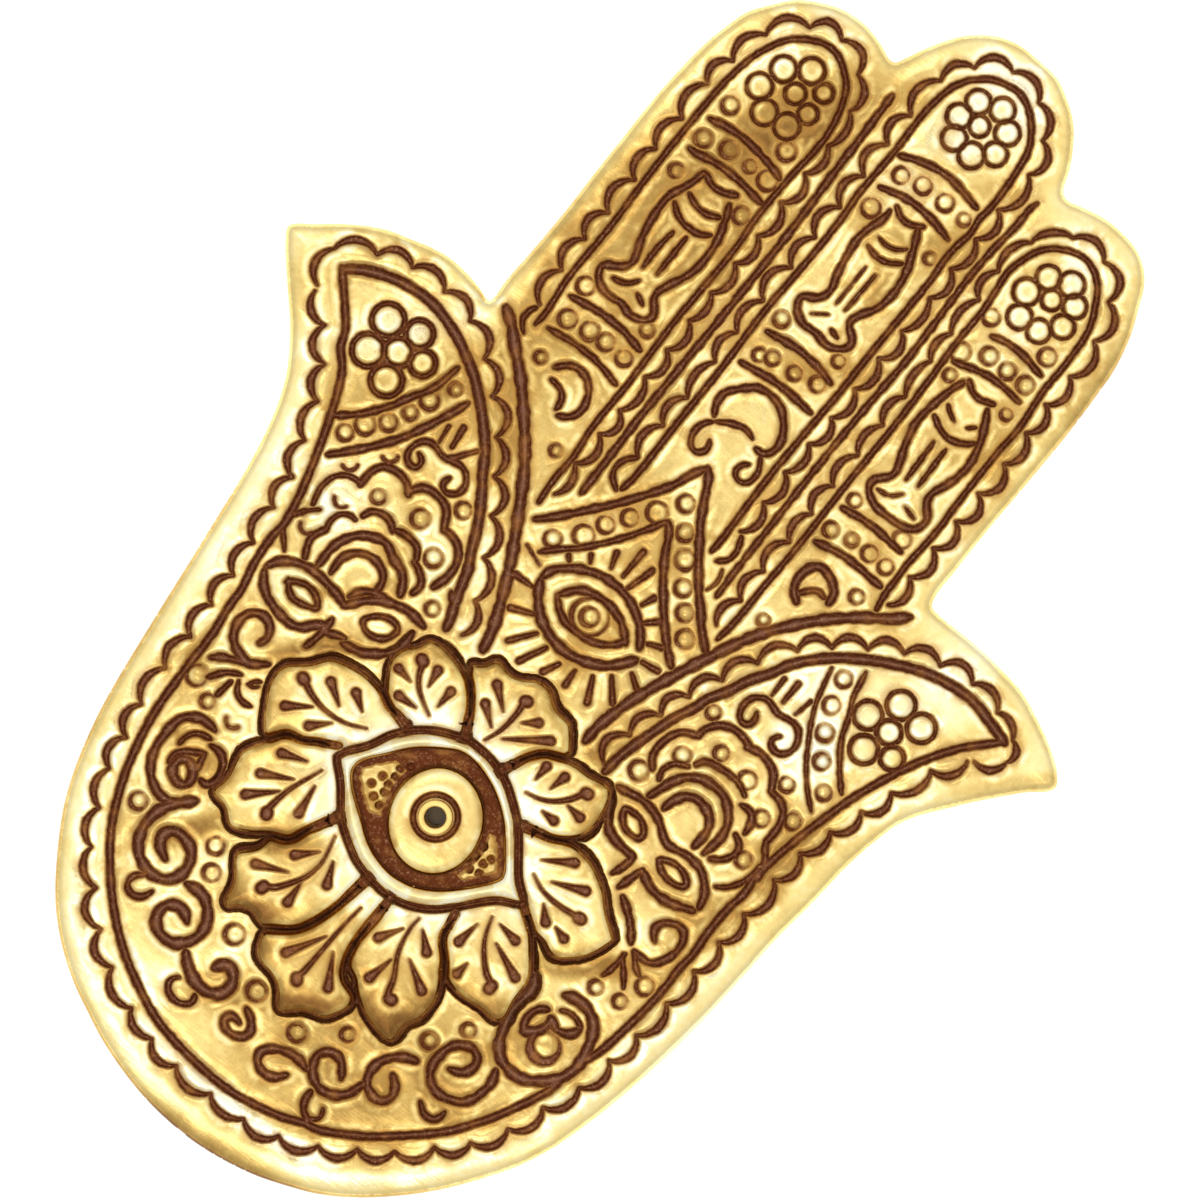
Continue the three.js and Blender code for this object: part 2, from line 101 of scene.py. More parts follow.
# scalloped edging: bow of each scallop, cusps in order
SCALLOPS = [
    ([0.90, 1.24, 1.05, 1.05, 1.10, 1.05, 1.14, 1.05, 1.05, 1.05, 1.05, 1.05, 1.05, 1.05, 1.00, 1.00, 1.05, 1.38, 1.24, 1.14, 0.86, 1.05, 1.05, 0.90, 1.05, 1.00, 1.05, 1.05, 1.14, 1.00, 1.05, 1.10, 1.00, 1.10, 1.05, 1.05, 1.14, 1.10, 1.05, 1.19, 1.05, 0.90, 1.00, 1.05, 1.00, 0.95],
     pts("""-39.29,5.33 -36.53,3.38 -34.22,0.46 -32.56,-2.71 -31.23,-6.39 -29.94,-9.87 -29.58,-13.23 -29.01,-17.03
        -28.55,-20.67 -28.48,-24.14 -28.16,-27.77 -28.19,-31.56 -27.86,-35.67 -27.03,-39.02 -26.47,-42.34
        -24.91,-45.84 -23.20,-49.23 -20.41,-51.99 -17.61,-54.76 -14.54,-56.95 -10.70,-58.89 -7.36,-59.89 -3.97,-60.49
        0.22,-60.57 4.17,-60.49 7.78,-59.69 11.29,-58.13 14.38,-56.05 17.26,-54.01 20.01,-51.35 22.46,-48.92
        24.40,-45.69 25.77,-42.05 27.28,-38.43 27.92,-34.64 28.46,-31.18 28.81,-27.02 28.94,-23.03 29.09,-19.39
        29.30,-15.82 29.53,-11.51 29.88,-7.96 30.88,-4.61 32.01,-1.29 33.13,1.90 34.82,5.91 36.98,8.71""")),
    ([0.95, 1.19, 1.19, 1.24, 1.10, 1.38, 1.14, 1.24, 1.10, 1.14, 1.10, 1.14, 1.10],
     pts("""-8.11,-11.66 -9.15,-8.36 -11.02,-4.61 -12.98,-1.06 -15.06,2.03 -17.21,5.06 -19.94,7.88 -22.72,10.18
        -26.01,12.19 -29.59,12.87 -33.40,12.78 -36.78,11.68 -40.35,9.59 -39.49,5.89""")),
    ([0.81, 0.67, 0.67, 1.00, 1.24, 1.14, 1.14, 1.14, 1.14, 1.14, 1.14, 1.10, 1.10, 1.05, 1.43],
     pts("""37.50,9.12 39.95,10.94 39.10,12.94 36.32,14.14 32.80,14.76 29.35,14.21 25.95,12.98 23.02,11.15 20.22,9.17
        17.85,6.94 15.58,3.68 14.03,0.27 12.51,-2.88 11.54,-5.95 10.35,-9.20 10.12,-12.91""")),
    ([0.76, 1.05, 1.00, 0.90, 0.95, 0.95, 0.71, 0.90, 0.90, 1.05, 1.10, 0.81, 0.76, 1.00, 1.29, 1.24, 1.33, 1.10, 1.05, 1.14, 1.05, 1.05, 1.24, 1.10, 1.10, 1.14],
     pts("""-9.52,4.28 -9.86,7.78 -9.71,11.43 -9.64,14.35 -9.73,18.35 -9.64,21.67 -9.75,25.15 -9.72,28.50 -9.66,32.10
        -9.60,35.51 -9.87,39.34 -9.77,42.92 -9.70,46.33 -10.05,50.18 -11.62,53.38 -14.86,54.98 -17.93,54.03
        -20.82,50.91 -21.69,47.06 -22.26,43.83 -22.05,39.76 -22.27,36.00 -21.98,32.41 -21.98,28.41 -22.22,25.09
        -22.09,21.42 -21.74,17.52""")),
    ([0.95, 1.00, 0.81, 0.95, 0.90, 0.95, 1.05, 0.81, 1.00, 0.95, 1.10, 1.14, 1.19, 1.00, 1.14, 1.24, 1.00, 1.24, 1.14, 1.24, 1.14, 1.19, 1.00, 1.29, 1.05, 0.95, 0.86, 1.00, 1.05],
     pts("""6.52,12.46 6.50,15.98 6.34,19.50 6.47,23.01 6.60,26.29 6.63,29.78 6.61,33.48 6.73,36.88 6.82,41.02 6.69,44.42
        6.78,48.09 6.74,51.59 7.01,55.99 5.98,59.36 3.48,61.93 -0.21,62.69 -3.32,60.74 -5.05,57.85 -5.21,53.46
        -5.21,49.95 -5.17,46.22 -5.06,42.49 -5.16,38.74 -5.13,35.13 -5.29,31.00 -5.37,27.10 -5.27,23.63 -5.23,19.31
        -5.40,15.82 -5.41,11.96""")),
    ([0.95, 1.19, 1.19, 1.29, 1.24, 1.05, 1.05, 1.05, 1.19, 1.29, 1.33, 1.10, 0.76, 0.86, 0.90, 0.76, 0.67, 0.62, 0.86, 0.81, 0.95, 0.95, 0.86, 1.05, 1.00, 0.86],
     pts("""21.85,15.67 21.77,19.02 21.83,22.58 21.95,25.90 21.96,29.32 22.15,33.00 21.95,36.60 21.77,39.90 21.92,43.38
        21.67,47.43 20.43,51.20 17.73,53.93 14.05,53.90 11.17,51.08 10.47,47.00 10.69,43.76 10.64,39.61 10.69,36.36
        10.92,32.20 10.93,28.76 10.85,25.04 10.80,21.29 10.85,17.98 10.86,14.57 10.67,10.83 10.70,7.33 10.30,4.08""")),
]
# chased lines: width, course
LINES = [
    (1.18, pts("""-24.12,15.35 -22.48,14.24 -21.10,12.89 -19.25,11.32 -16.26,8.17 -13.39,4.63 -10.63,0.07 -8.53,-3.78
        -6.15,-9.39 -5.67,-11.51""")),
    (1.13, pts("""24.27,16.12 22.85,14.75 20.95,13.45 17.81,10.67 14.54,6.72 13.43,4.97 10.58,-1.05 8.48,-6.28 7.64,-9.34
        7.35,-11.23 7.34,-12.26""")),
    (0.81, pts("""-7.57,5.89 -7.60,10.14 -7.68,14.51 -7.62,19.84 -7.51,25.35 -7.45,30.67 -7.40,36.19 -7.49,40.56 -7.62,45.13
        -7.70,49.50 -7.82,53.94""")),
    (0.81, pts("""-20.07,41.37 -18.51,41.74 -16.39,41.95 -13.34,41.58 -12.03,41.32 -11.25,41.02""")),
    (0.81, pts("""-19.84,38.00 -18.82,38.06 -17.13,38.45 -15.59,38.54 -13.88,38.48 -11.19,38.11""")),
    (0.81, pts("""-20.03,19.97 -16.96,20.50 -15.62,20.56 -13.71,20.48 -11.59,20.02""")),
    (0.68, pts("""-19.80,16.30 -16.86,16.67 -14.95,16.72 -13.05,16.48 -11.32,16.04""")),
    (0.81, pts("""-3.84,49.79 -2.01,50.56 0.44,51.10 2.19,51.04 5.06,50.43""")),
    (0.81, pts("""-3.39,46.30 -1.51,46.88 0.57,47.11 2.48,46.97 4.81,46.42""")),
    (0.81, pts("""-3.27,28.91 -0.76,29.35 0.39,29.41 2.49,29.30 4.61,28.79""")),
    (0.81, pts("""-3.43,25.11 0.59,25.66 2.29,25.64 4.83,25.41""")),
    (0.77, pts("""13.74,41.81 15.07,42.18 16.36,42.29 17.85,42.15 19.76,41.75""")),
    (0.72, pts("""12.34,37.68 16.06,38.69 17.78,38.68 19.72,38.51""")),
    (0.81, pts("""12.71,20.26 16.01,20.63 19.70,20.38""")),
    (0.81, pts("""12.65,16.13 14.94,16.62 16.25,16.78 20.29,16.63""")),
    (0.77, pts("""-30.60,-2.86 -28.45,-0.92 -26.61,1.71 -25.93,3.06 -24.76,5.03 -24.11,8.08""")),
    (0.86, pts("""-28.73,-6.13 -27.01,-4.26 -24.46,-0.95 -23.18,1.42 -21.53,5.26 -21.28,6.05""")),
    (0.50, pts("""21.38,7.73 22.22,4.37 23.13,2.30 25.13,-0.94 26.47,-2.54 28.36,-4.25""")),
    (0.59, pts("""24.20,9.40 24.79,6.56 25.46,5.41 25.84,4.14 26.43,2.75 28.21,0.29 29.56,-1.13""")),
    (0.68, pts("""-17.17,34.62 -16.05,34.11 -15.26,34.00 -14.31,34.15 -13.47,34.66""")),
    (0.68, pts("""-17.74,33.13 -16.81,32.35 -15.94,32.06 -14.22,32.07 -13.72,32.29 -13.07,32.82""")),
    (0.62, pts("""-16.13,30.85 -16.35,28.14 -16.25,26.36""")),
    (0.62, pts("""-14.80,31.22 -14.82,26.73""")),
    (0.61, pts("""-17.89,23.85 -17.06,23.96 -16.57,24.14 -16.22,24.49 -15.77,25.20""")),
    (0.60, pts("""-15.17,24.12 -14.05,23.56""")),
    (0.45, pts("""-0.49,42.53 0.44,42.32 1.08,42.41 1.69,42.67 2.34,43.32""")),
    (0.59, pts("""-0.82,41.30 0.15,40.93 0.90,40.90 1.92,41.28 2.88,41.95""")),
    (0.36, pts("""0.30,39.57 0.26,35.08""")),
    (0.45, pts("""1.50,39.49 1.31,35.08""")),
    (0.33, pts("""-1.04,32.84 0.31,33.82""")),
    (0.58, pts("""1.40,32.83 2.38,32.55""")),
    (0.68, pts("""14.19,32.52 15.60,31.75 16.75,31.65 17.82,31.99 18.45,32.43 18.90,32.89""")),
    (0.54, pts("""14.56,34.14 15.22,33.58 16.03,33.25""")),
    (0.52, pts("""17.29,33.49 17.97,34.09""")),
    (0.54, pts("""15.67,30.60 15.82,26.06""")),
    (0.54, pts("""17.00,30.71 17.12,26.33""")),
    (0.45, pts("""14.24,23.71 15.45,23.81 15.89,24.15 16.42,24.80""")),
    (0.43, pts("""17.31,23.99 18.73,23.61""")),
    (0.80, pts("""-16.93,13.75 -16.15,14.66 -15.34,15.07 -14.78,15.10 -14.23,14.99 -13.72,14.75 -13.30,14.41 -12.88,13.83
        -12.58,13.18 -12.41,12.49 -12.41,11.81 -12.58,11.35 -12.97,10.84 -13.31,10.56 -13.87,10.35""")),
    (0.68, pts("""-16.48,12.66 -15.45,12.56 -14.79,12.25 -14.46,11.84 -14.34,11.52 -14.39,10.74""")),
    (0.81, pts("""-2.18,19.54 -2.66,20.20 -2.83,20.73 -2.91,21.47 -2.77,22.00 -0.76,24.13 -0.30,24.34 0.60,24.43 1.53,24.31
        2.60,23.85 3.81,22.52 4.09,22.07 4.38,20.87 4.21,20.09 3.71,19.53 3.31,19.45 2.85,19.54""")),
    (0.68, pts("""-1.78,19.21 -0.60,19.94 0.61,20.37 1.27,20.39 1.99,20.08""")),
    (0.68, pts("""-1.93,19.00 -2.53,18.47 -2.74,18.06 -2.82,17.16 -2.63,16.40 -2.25,15.93 -1.88,15.73 -1.48,15.67 -1.10,15.77
        -0.82,16.04 -0.67,16.56 -0.75,16.91 -1.10,17.45""")),
    (0.59, pts("""3.64,19.21 4.14,18.56 4.36,18.06 4.47,17.39 4.37,16.75 4.06,16.23 3.61,16.07 3.06,16.11 2.61,16.44 2.46,16.77
        2.54,17.30 2.88,17.75 3.24,17.99""")),
    (0.86, pts("""-9.51,1.25 -8.38,2.36 -7.00,3.96 -4.59,6.92 -3.22,8.77 -1.16,12.02 -0.24,14.31 0.47,15.30""")),
    (0.90, pts("""0.37,15.32 0.95,14.69 2.93,10.99 4.91,8.18 7.03,5.49 8.38,4.13 9.22,3.09 10.99,1.53""")),
    (0.68, pts("""-7.23,-0.93 -6.30,0.13 -4.72,1.52 -2.60,3.99 -0.97,6.35 0.59,9.06""")),
    (0.89, pts("""0.55,8.93 1.22,8.33 2.37,6.18 4.03,3.83 7.17,0.24 9.37,-1.72""")),
    (0.68, pts("""-21.98,-0.64 -21.54,-0.72 -21.27,-0.94 -21.08,-1.45 -21.10,-1.78 -21.45,-2.12 -21.82,-2.19 -22.19,-2.12
        -22.66,-1.80 -22.94,-1.14 -22.89,-0.46 -22.54,0.40 -22.06,0.80 -21.50,0.98 -20.03,0.49 -18.48,0.92
        -17.97,0.93 -17.50,0.79 -16.99,0.37 -16.66,-0.20 -16.53,-0.85 -16.63,-1.31 -17.16,-1.90 -17.62,-2.04
        -18.12,-2.00 -18.39,-1.79 -18.56,-1.33 -18.25,-0.67""")),
    (0.54, pts("""-26.23,-15.88 -28.05,-13.67 -27.93,-13.00 -27.00,-11.43""")),
    (0.81, pts("""-11.38,-9.07 -10.36,-9.99""")),
    (0.95, pts("""-22.92,-14.95 -22.94,-12.99 -22.75,-12.06 -22.47,-11.38 -21.96,-10.62 -21.43,-10.10 -20.81,-9.72 -19.96,-9.38
        -19.07,-9.23 -17.81,-9.98 -16.33,-10.39 -15.77,-10.91 -15.00,-12.33""")),
    (0.86, pts("""-21.48,-14.78 -21.64,-13.41 -21.42,-12.53 -20.75,-11.69 -19.81,-11.21 -19.30,-11.13 -18.61,-11.21
        -17.99,-11.41 -17.60,-11.65 -17.25,-12.03 -17.02,-12.49 -17.07,-13.45""")),
    (0.95, pts("""-26.70,-18.11 -26.39,-17.32 -25.89,-16.72 -24.91,-16.09 -23.80,-15.69 -23.02,-15.58 -22.03,-15.61
        -19.96,-15.94 -18.78,-16.27""")),
    (0.95, pts("""-26.64,-18.35 -26.03,-19.38 -25.14,-20.10 -23.92,-20.59 -21.70,-20.96 -21.13,-20.87 -20.44,-20.57
        -20.17,-20.33 -19.67,-19.54 -18.55,-18.93""")),
    (0.68, pts("""-24.32,-18.06 -23.36,-17.26 -22.35,-17.06 -21.17,-17.32 -20.83,-17.59 -20.35,-18.19 -22.09,-18.83
        -22.90,-18.90 -23.61,-18.52 -24.32,-17.66""")),
    (0.95, pts("""-18.62,-16.45 -17.29,-14.76 -16.45,-14.02 -15.79,-13.65 -13.58,-13.01 -12.99,-13.02 -11.40,-13.29""")),
    (0.95, pts("""-16.48,-19.28 -15.12,-19.05 -14.40,-18.82 -12.64,-17.47 -12.18,-16.85 -11.95,-16.31 -11.87,-15.73
        -11.90,-14.35""")),
    (0.68, pts("""-16.53,-16.33 -15.45,-15.16 -14.62,-14.71 -14.06,-14.61 -13.49,-14.67 -13.06,-14.88 -12.98,-15.18
        -13.19,-15.88 -13.49,-16.39 -13.97,-16.81 -14.37,-16.98 -15.02,-17.08 -15.64,-17.01 -16.54,-16.42""")),
    (0.81, pts("""-18.66,-18.10 -18.66,-20.03 -19.08,-21.73""")),
    (0.81, pts("""-18.42,-19.43 -17.91,-19.32 -17.09,-18.88 -16.60,-18.78""")),
    (0.95, pts("""-22.70,-24.18 -22.37,-23.72 -22.33,-23.47 -22.49,-22.88 -22.84,-22.35 -23.31,-21.97 -23.72,-21.84
        -24.19,-21.87 -24.65,-22.04 -25.27,-22.61 -25.55,-23.45 -25.40,-24.52 -24.96,-25.31 -24.24,-25.87
        -22.74,-26.37 -22.05,-26.28 -21.31,-25.87""")),
    (0.68, pts("""18.43,-0.05 18.79,-0.53 18.86,-1.08 18.63,-1.61 18.29,-1.81 17.90,-1.83 17.57,-1.67 17.02,-0.74 16.93,-0.22
        17.00,0.30 17.20,0.78 17.55,1.16 17.97,1.45 18.43,1.57 19.12,1.43 20.18,1.03 21.25,1.34 21.94,1.39 22.52,1.16
        23.02,0.62 23.33,-0.09 23.35,-0.71 23.14,-1.29 22.72,-1.76 22.33,-1.91 21.73,-1.89 21.20,-1.66 20.99,-1.18
        21.10,-0.83 21.57,-0.42""")),
    (0.59, pts("""27.72,-11.15 27.67,-12.55 27.22,-13.80 26.56,-14.77 25.57,-15.47""")),
    (0.81, pts("""22.68,-7.86 23.71,-7.72 24.23,-8.03 24.59,-8.78 24.64,-9.80""")),
    (0.95, pts("""15.31,-12.64 16.33,-9.94 17.13,-8.90 17.90,-8.36 18.42,-8.16 20.42,-8.07 20.92,-8.19 21.49,-8.54 22.53,-9.50
        22.82,-9.98 23.09,-10.91 23.16,-11.69 22.76,-13.66""")),
    (0.95, pts("""17.17,-12.73 17.38,-11.54 18.09,-10.45 18.70,-10.06 19.82,-10.06 20.86,-10.47 21.48,-11.08 21.78,-12.33
        21.63,-13.72""")),
    (0.95, pts("""12.35,-14.48 13.73,-16.89 14.30,-17.47 15.61,-17.93 17.80,-18.09""")),
    (0.68, pts("""14.06,-14.94 15.41,-14.70 16.19,-14.82 16.93,-15.37 17.23,-15.85 17.35,-16.29 17.18,-16.48 16.46,-16.61
        15.87,-16.58 15.29,-16.40 14.67,-15.88 14.10,-14.77""")),
    (0.95, pts("""19.40,-18.63 20.61,-19.32 21.92,-19.50 23.23,-19.34 25.42,-18.51""")),
    (0.68, pts("""19.68,-16.77 20.77,-16.22 21.84,-16.12 22.90,-16.50 23.34,-16.86 23.54,-17.21 23.29,-17.42 22.61,-17.68
        21.50,-17.74 20.41,-17.35 19.68,-16.62""")),
    (0.81, pts("""17.10,-20.59 17.41,-19.81 17.83,-18.25""")),
    (0.81, pts("""18.42,-21.22 19.20,-18.42""")),
    (0.81, pts("""-25.52,-28.15 -24.58,-27.38 -22.04,-26.14 -20.72,-25.17""")),
    (0.68, pts("""-24.53,-29.73 -23.46,-28.32 -22.19,-27.60""")),
    (0.68, pts("""-22.81,-30.65 -22.52,-28.68""")),
    (0.95, pts("""-20.83,-33.28 -21.84,-33.12 -22.57,-33.21 -23.39,-33.59 -24.04,-34.24 -24.28,-34.95 -24.38,-36.73
        -24.28,-37.98 -23.96,-39.03 -23.39,-39.99 -22.72,-40.63 -21.92,-41.13 -21.04,-41.40 -20.33,-41.32
        -19.51,-40.95 -18.06,-39.65""")),
    (0.95, pts("""12.65,-48.46 13.32,-48.93 13.77,-49.50 13.99,-50.00 13.90,-50.54 13.55,-50.96 13.13,-51.24 12.67,-51.31
        12.15,-51.19 11.51,-50.89 11.13,-50.55 10.89,-50.12 10.77,-49.48 10.90,-48.27 11.34,-47.53 12.33,-46.52
        13.64,-46.03""")),
    (0.95, pts("""16.52,-44.68 17.65,-44.33 18.00,-43.94 18.24,-43.46 18.36,-42.91 18.30,-42.54 18.01,-42.06 17.72,-41.85
        17.22,-41.76 16.43,-41.94 15.87,-42.26 15.40,-42.77 15.11,-43.41 14.98,-44.45 14.96,-45.14 15.10,-45.65
        15.41,-46.28 15.75,-46.67 16.19,-46.97 16.71,-47.16 17.60,-47.15 19.46,-46.42 20.09,-45.47 20.50,-43.66
        20.49,-42.95 20.09,-42.04""")),
    (0.74, pts("""16.34,-48.81 16.79,-49.28 17.27,-49.58 17.57,-49.67 18.05,-49.64 18.50,-49.40 18.70,-49.12 18.75,-48.14""")),
    (0.81, pts("""24.35,-23.11 23.84,-22.74 23.51,-22.32 23.45,-21.79 23.57,-21.44 23.96,-21.08 25.06,-20.48 25.59,-20.45
        26.05,-20.74 26.50,-21.66 26.58,-22.49 26.38,-23.31 25.81,-24.56 25.58,-24.87 25.07,-25.13 24.34,-25.15
        23.33,-25.03""")),
    (0.81, pts("""19.27,-21.67 20.92,-22.76 21.89,-23.67 22.63,-24.64""")),
    (0.62, pts("""22.87,-25.71 22.69,-27.91 22.41,-28.72""")),
    (0.62, pts("""22.69,-25.86 23.04,-26.42 23.75,-27.13 24.74,-28.41""")),
    (0.62, pts("""23.28,-25.08 23.83,-25.48 24.50,-26.25 25.27,-26.59""")),
    (0.72, pts("""9.34,54.39 9.02,53.40 9.11,52.45 8.68,47.52 8.60,44.09 8.75,39.73 8.83,35.16 8.58,29.08 8.46,21.84 8.47,15.39
        8.50,8.75 8.60,6.20""")),
    (1.17, pts("""17.25,-32.51 17.92,-33.30 18.12,-33.78 17.81,-36.01 17.80,-36.78 17.93,-37.53 18.63,-39.71 19.08,-40.34
        19.82,-40.95 20.51,-41.17 21.78,-41.32 22.52,-41.18 23.18,-40.87 25.05,-39.33 25.47,-38.68 25.76,-37.96
        25.92,-37.19 25.94,-36.41 25.33,-34.00 24.89,-33.16 24.39,-32.62 23.60,-32.17 22.58,-31.99 21.69,-32.02
        20.73,-32.40""")),
    (0.85, pts("""19.74,-37.47 19.28,-36.63 19.34,-35.60 19.68,-34.81 20.37,-34.49""")),
    (1.09, pts("""19.75,-37.56 20.64,-36.93 21.10,-36.38 21.28,-35.84 21.28,-35.02""")),
    (1.09, pts("""21.08,-34.94 22.20,-35.53""")),
    (0.65, pts("""21.40,-33.73 22.14,-33.41 22.68,-33.37 23.22,-33.50 23.94,-33.91""")),
    (1.09, pts("""22.43,-35.47 23.01,-35.29 23.59,-34.95 23.85,-34.60 23.92,-34.22""")),
    (1.13, pts("""-18.10,-39.62 -19.46,-41.06 -20.19,-42.20 -20.50,-43.29 -20.50,-44.76 -20.30,-45.49 -19.96,-46.16
        -19.48,-46.77 -19.03,-47.14 -18.33,-47.48 -17.59,-47.70 -17.01,-47.75 -16.44,-47.64 -15.75,-47.34
        -15.20,-46.85 -14.92,-46.25 -14.78,-45.57 -14.86,-44.87 -15.19,-44.04 -15.65,-43.47 -16.13,-43.25
        -17.70,-43.02 -18.20,-43.26 -18.61,-43.81 -18.63,-44.34 -18.33,-44.99 -17.91,-45.33 -16.98,-45.78""")),
    (0.72, pts("""-17.62,-48.14 -18.28,-48.74 -18.55,-49.26 -18.49,-49.85 -18.09,-50.26 -17.40,-50.45 -16.77,-50.26
        -16.33,-49.83 -16.04,-48.93""")),
    (1.13, pts("""-13.95,-46.37 -12.60,-46.16 -12.07,-46.25 -11.43,-46.55 -10.76,-47.13 -10.23,-47.86 -9.96,-48.51 -9.92,-49.03
        -10.00,-49.83 -10.17,-50.27 -10.79,-51.14 -11.38,-51.60 -11.94,-51.75 -12.70,-51.76 -13.43,-51.53
        -14.03,-51.09 -14.36,-50.46 -14.40,-49.77 -14.25,-49.19 -13.80,-48.66 -13.26,-48.48 -12.59,-48.53
        -12.12,-48.77 -11.65,-49.20""")),
    (1.22, pts("""-6.92,-51.04 -6.55,-50.24 -5.90,-49.94 -5.26,-50.23 -4.67,-50.99 -4.59,-51.83 -4.79,-52.47 -5.30,-52.96
        -6.19,-53.27 -7.14,-53.28 -7.88,-53.04 -8.90,-52.50 -9.95,-51.55""")),
    (0.68, pts("""-8.98,-53.75 -9.43,-54.06 -9.50,-54.74 -9.17,-55.34 -8.45,-55.74 -7.61,-55.75 -6.72,-55.33 -6.53,-55.08
        -6.44,-54.66 -6.79,-54.16""")),
    (0.90, pts("""-1.77,-53.66 -2.34,-53.45 -2.83,-53.47 -3.19,-53.78 -3.24,-54.27 -3.10,-54.55 -2.75,-54.85 -2.00,-55.00
        -1.06,-54.74 -0.53,-54.30 -0.40,-53.70 -0.61,-53.26 -1.23,-52.59 -2.13,-52.14""")),
    (0.90, pts("""-5.53,-2.64 -5.44,-2.01 -5.21,-1.51 -3.87,-0.20 -3.24,0.20 -1.53,0.91 -0.48,1.09 1.60,1.01 2.99,0.54
        4.31,-0.24 4.91,-0.73 5.41,-1.32 5.93,-2.22""")),
    (1.04, pts("""-5.48,-2.95 -4.67,-4.33 -3.89,-5.18 -3.13,-5.77 -1.56,-6.51 0.33,-6.83 1.67,-6.68 3.83,-5.86 5.08,-4.88
        6.40,-3.14""")),
    (0.86, pts("""-3.32,-3.04 -2.41,-1.75 -1.86,-1.23 -1.32,-1.00 0.18,-0.69 1.41,-0.77 2.77,-1.16 3.51,-1.61 4.63,-2.66""")),
    (0.77, pts("""-3.32,-3.03 -2.65,-3.78 -1.68,-4.43 -0.72,-4.65 0.65,-4.70 2.00,-4.47 2.90,-4.11 3.95,-3.26 4.53,-2.36""")),
    (0.63, pts("""-21.27,14.48 -22.13,15.26 -22.29,16.23 -21.83,17.19""")),
    (0.63, pts("""-5.18,8.27 -6.30,9.08 -6.58,10.19 -6.11,11.29 -5.43,11.96""")),
    (0.63, pts("""6.93,12.14 7.46,10.86 7.40,9.72 6.49,8.87""")),
    (0.45, pts("""7.47,8.56 7.86,7.29 7.45,6.12""")),
    (0.63, pts("""-22.03,-28.14 -21.47,-29.16 -20.51,-29.61 -19.60,-29.38""")),
    (0.54, pts("""-21.12,-27.91 -20.85,-27.33 -20.27,-26.99""")),
    (0.45, pts("""-20.99,-27.93 -20.38,-27.93 -20.18,-27.41""")),
    (0.63, pts("""-22.72,-36.34 -22.77,-35.65 -22.34,-34.82 -21.53,-34.30 -20.64,-34.20""")),
    (1.00, pts("""-21.52,-37.09 -21.94,-37.78 -21.84,-38.68 -21.10,-39.30 -20.08,-39.35 -19.66,-38.66 -19.96,-37.67
        -20.64,-37.12 -21.52,-37.09""")),
    (0.72, pts("""-22.41,-38.40 -22.57,-37.44 -21.87,-36.64 -20.99,-36.06 -20.18,-35.55""")),
    (0.72, pts("""-20.18,-35.55 -20.14,-36.36 -19.87,-37.48""")),
    (0.81, pts("""-20.28,-34.65 -19.26,-34.57 -18.37,-35.08 -17.88,-36.15 -17.87,-37.24 -18.29,-37.94 -19.09,-37.84""")),
    (0.95, pts("""4.78,-54.66 4.28,-55.41 3.55,-55.87 2.60,-55.90 1.77,-55.46 1.39,-54.67 1.75,-53.90 2.70,-53.26 3.83,-52.85
        4.79,-52.83 5.90,-53.16""")),
    (0.95, pts("""9.05,-51.77 8.35,-50.74 7.60,-50.24 6.63,-50.40 5.94,-51.07 5.91,-51.94 6.35,-52.81 7.15,-53.51 8.13,-53.83
        9.17,-53.61 10.13,-52.98 10.71,-52.03 10.97,-50.97""")),
    (0.81, pts("""7.57,-54.51 7.58,-55.60 8.04,-56.33 9.12,-56.93""")),
    (0.54, pts("""9.02,-56.64 9.66,-56.38 9.87,-55.73 9.47,-55.07""")),
    (0.81, pts("""-17.28,37.07 -17.55,35.88 -17.89,34.77 -18.50,33.55 -18.61,32.61 -18.56,31.32 -18.39,29.87 -18.13,28.62
        -17.72,27.49 -17.31,26.36 -17.37,25.82 -17.85,25.20 -18.51,24.80 -19.15,24.54 -19.52,24.24 -19.33,23.54
        -18.99,22.96 -18.43,22.56 -17.64,22.33 -16.63,22.28 -15.72,22.51 -14.95,22.15 -13.94,22.10 -13.02,22.47
        -12.61,23.03 -12.67,23.72 -13.47,24.42 -13.77,25.27 -13.37,26.44 -12.64,27.98 -12.20,29.43 -12.14,31.18
        -12.29,32.76 -12.63,33.95 -12.98,35.01 -13.52,36.16""")),
    (0.81, pts("""-1.22,45.16 -1.18,44.34 -1.59,43.17 -1.93,41.92 -1.98,40.91 -1.73,39.05 -1.39,37.25 -0.94,35.91 -0.96,35.17
        -1.30,34.53 -1.90,34.06 -2.68,33.81 -2.81,33.21 -2.55,32.57 -1.94,31.96 -0.90,31.57 -0.01,31.67 0.81,31.71
        1.58,31.34 2.55,31.50 3.43,32.08 3.85,32.77 3.58,33.42 2.89,33.84 2.38,34.17 2.31,34.72 2.61,35.56 3.42,36.69
        3.74,37.67 3.93,39.27 3.73,41.06 3.39,42.25 2.86,43.53 2.38,44.61 2.00,45.40""")),
    (0.81, pts("""14.41,36.76 14.05,35.99 13.57,34.15 13.31,32.49 13.18,30.81 13.50,29.48 13.88,28.08 14.36,27.01 14.64,25.89
        14.28,25.12 13.44,24.33 13.30,23.74 13.76,23.01 15.04,22.32 15.97,22.21 17.00,22.29 18.22,22.29 19.29,22.77
        19.80,23.66 19.70,24.55 18.73,25.48 18.51,26.52 19.16,28.01 19.54,29.52 19.69,30.86 19.45,32.25 18.95,33.79
        18.35,35.02 17.73,36.11""")),
    (0.86, pts("""12.39,-13.78 13.36,-13.62 15.02,-13.27 16.23,-13.42 17.40,-13.82 18.41,-14.48 19.28,-15.13 20.23,-15.10
        21.35,-14.83 22.57,-14.83 23.63,-15.09 24.56,-15.81 25.39,-16.86 25.65,-18.11""")),
    (0.81, pts("""-18.72,-15.44 -18.36,-14.67 -17.88,-14.05 -17.09,-13.67 -16.03,-13.32""")),
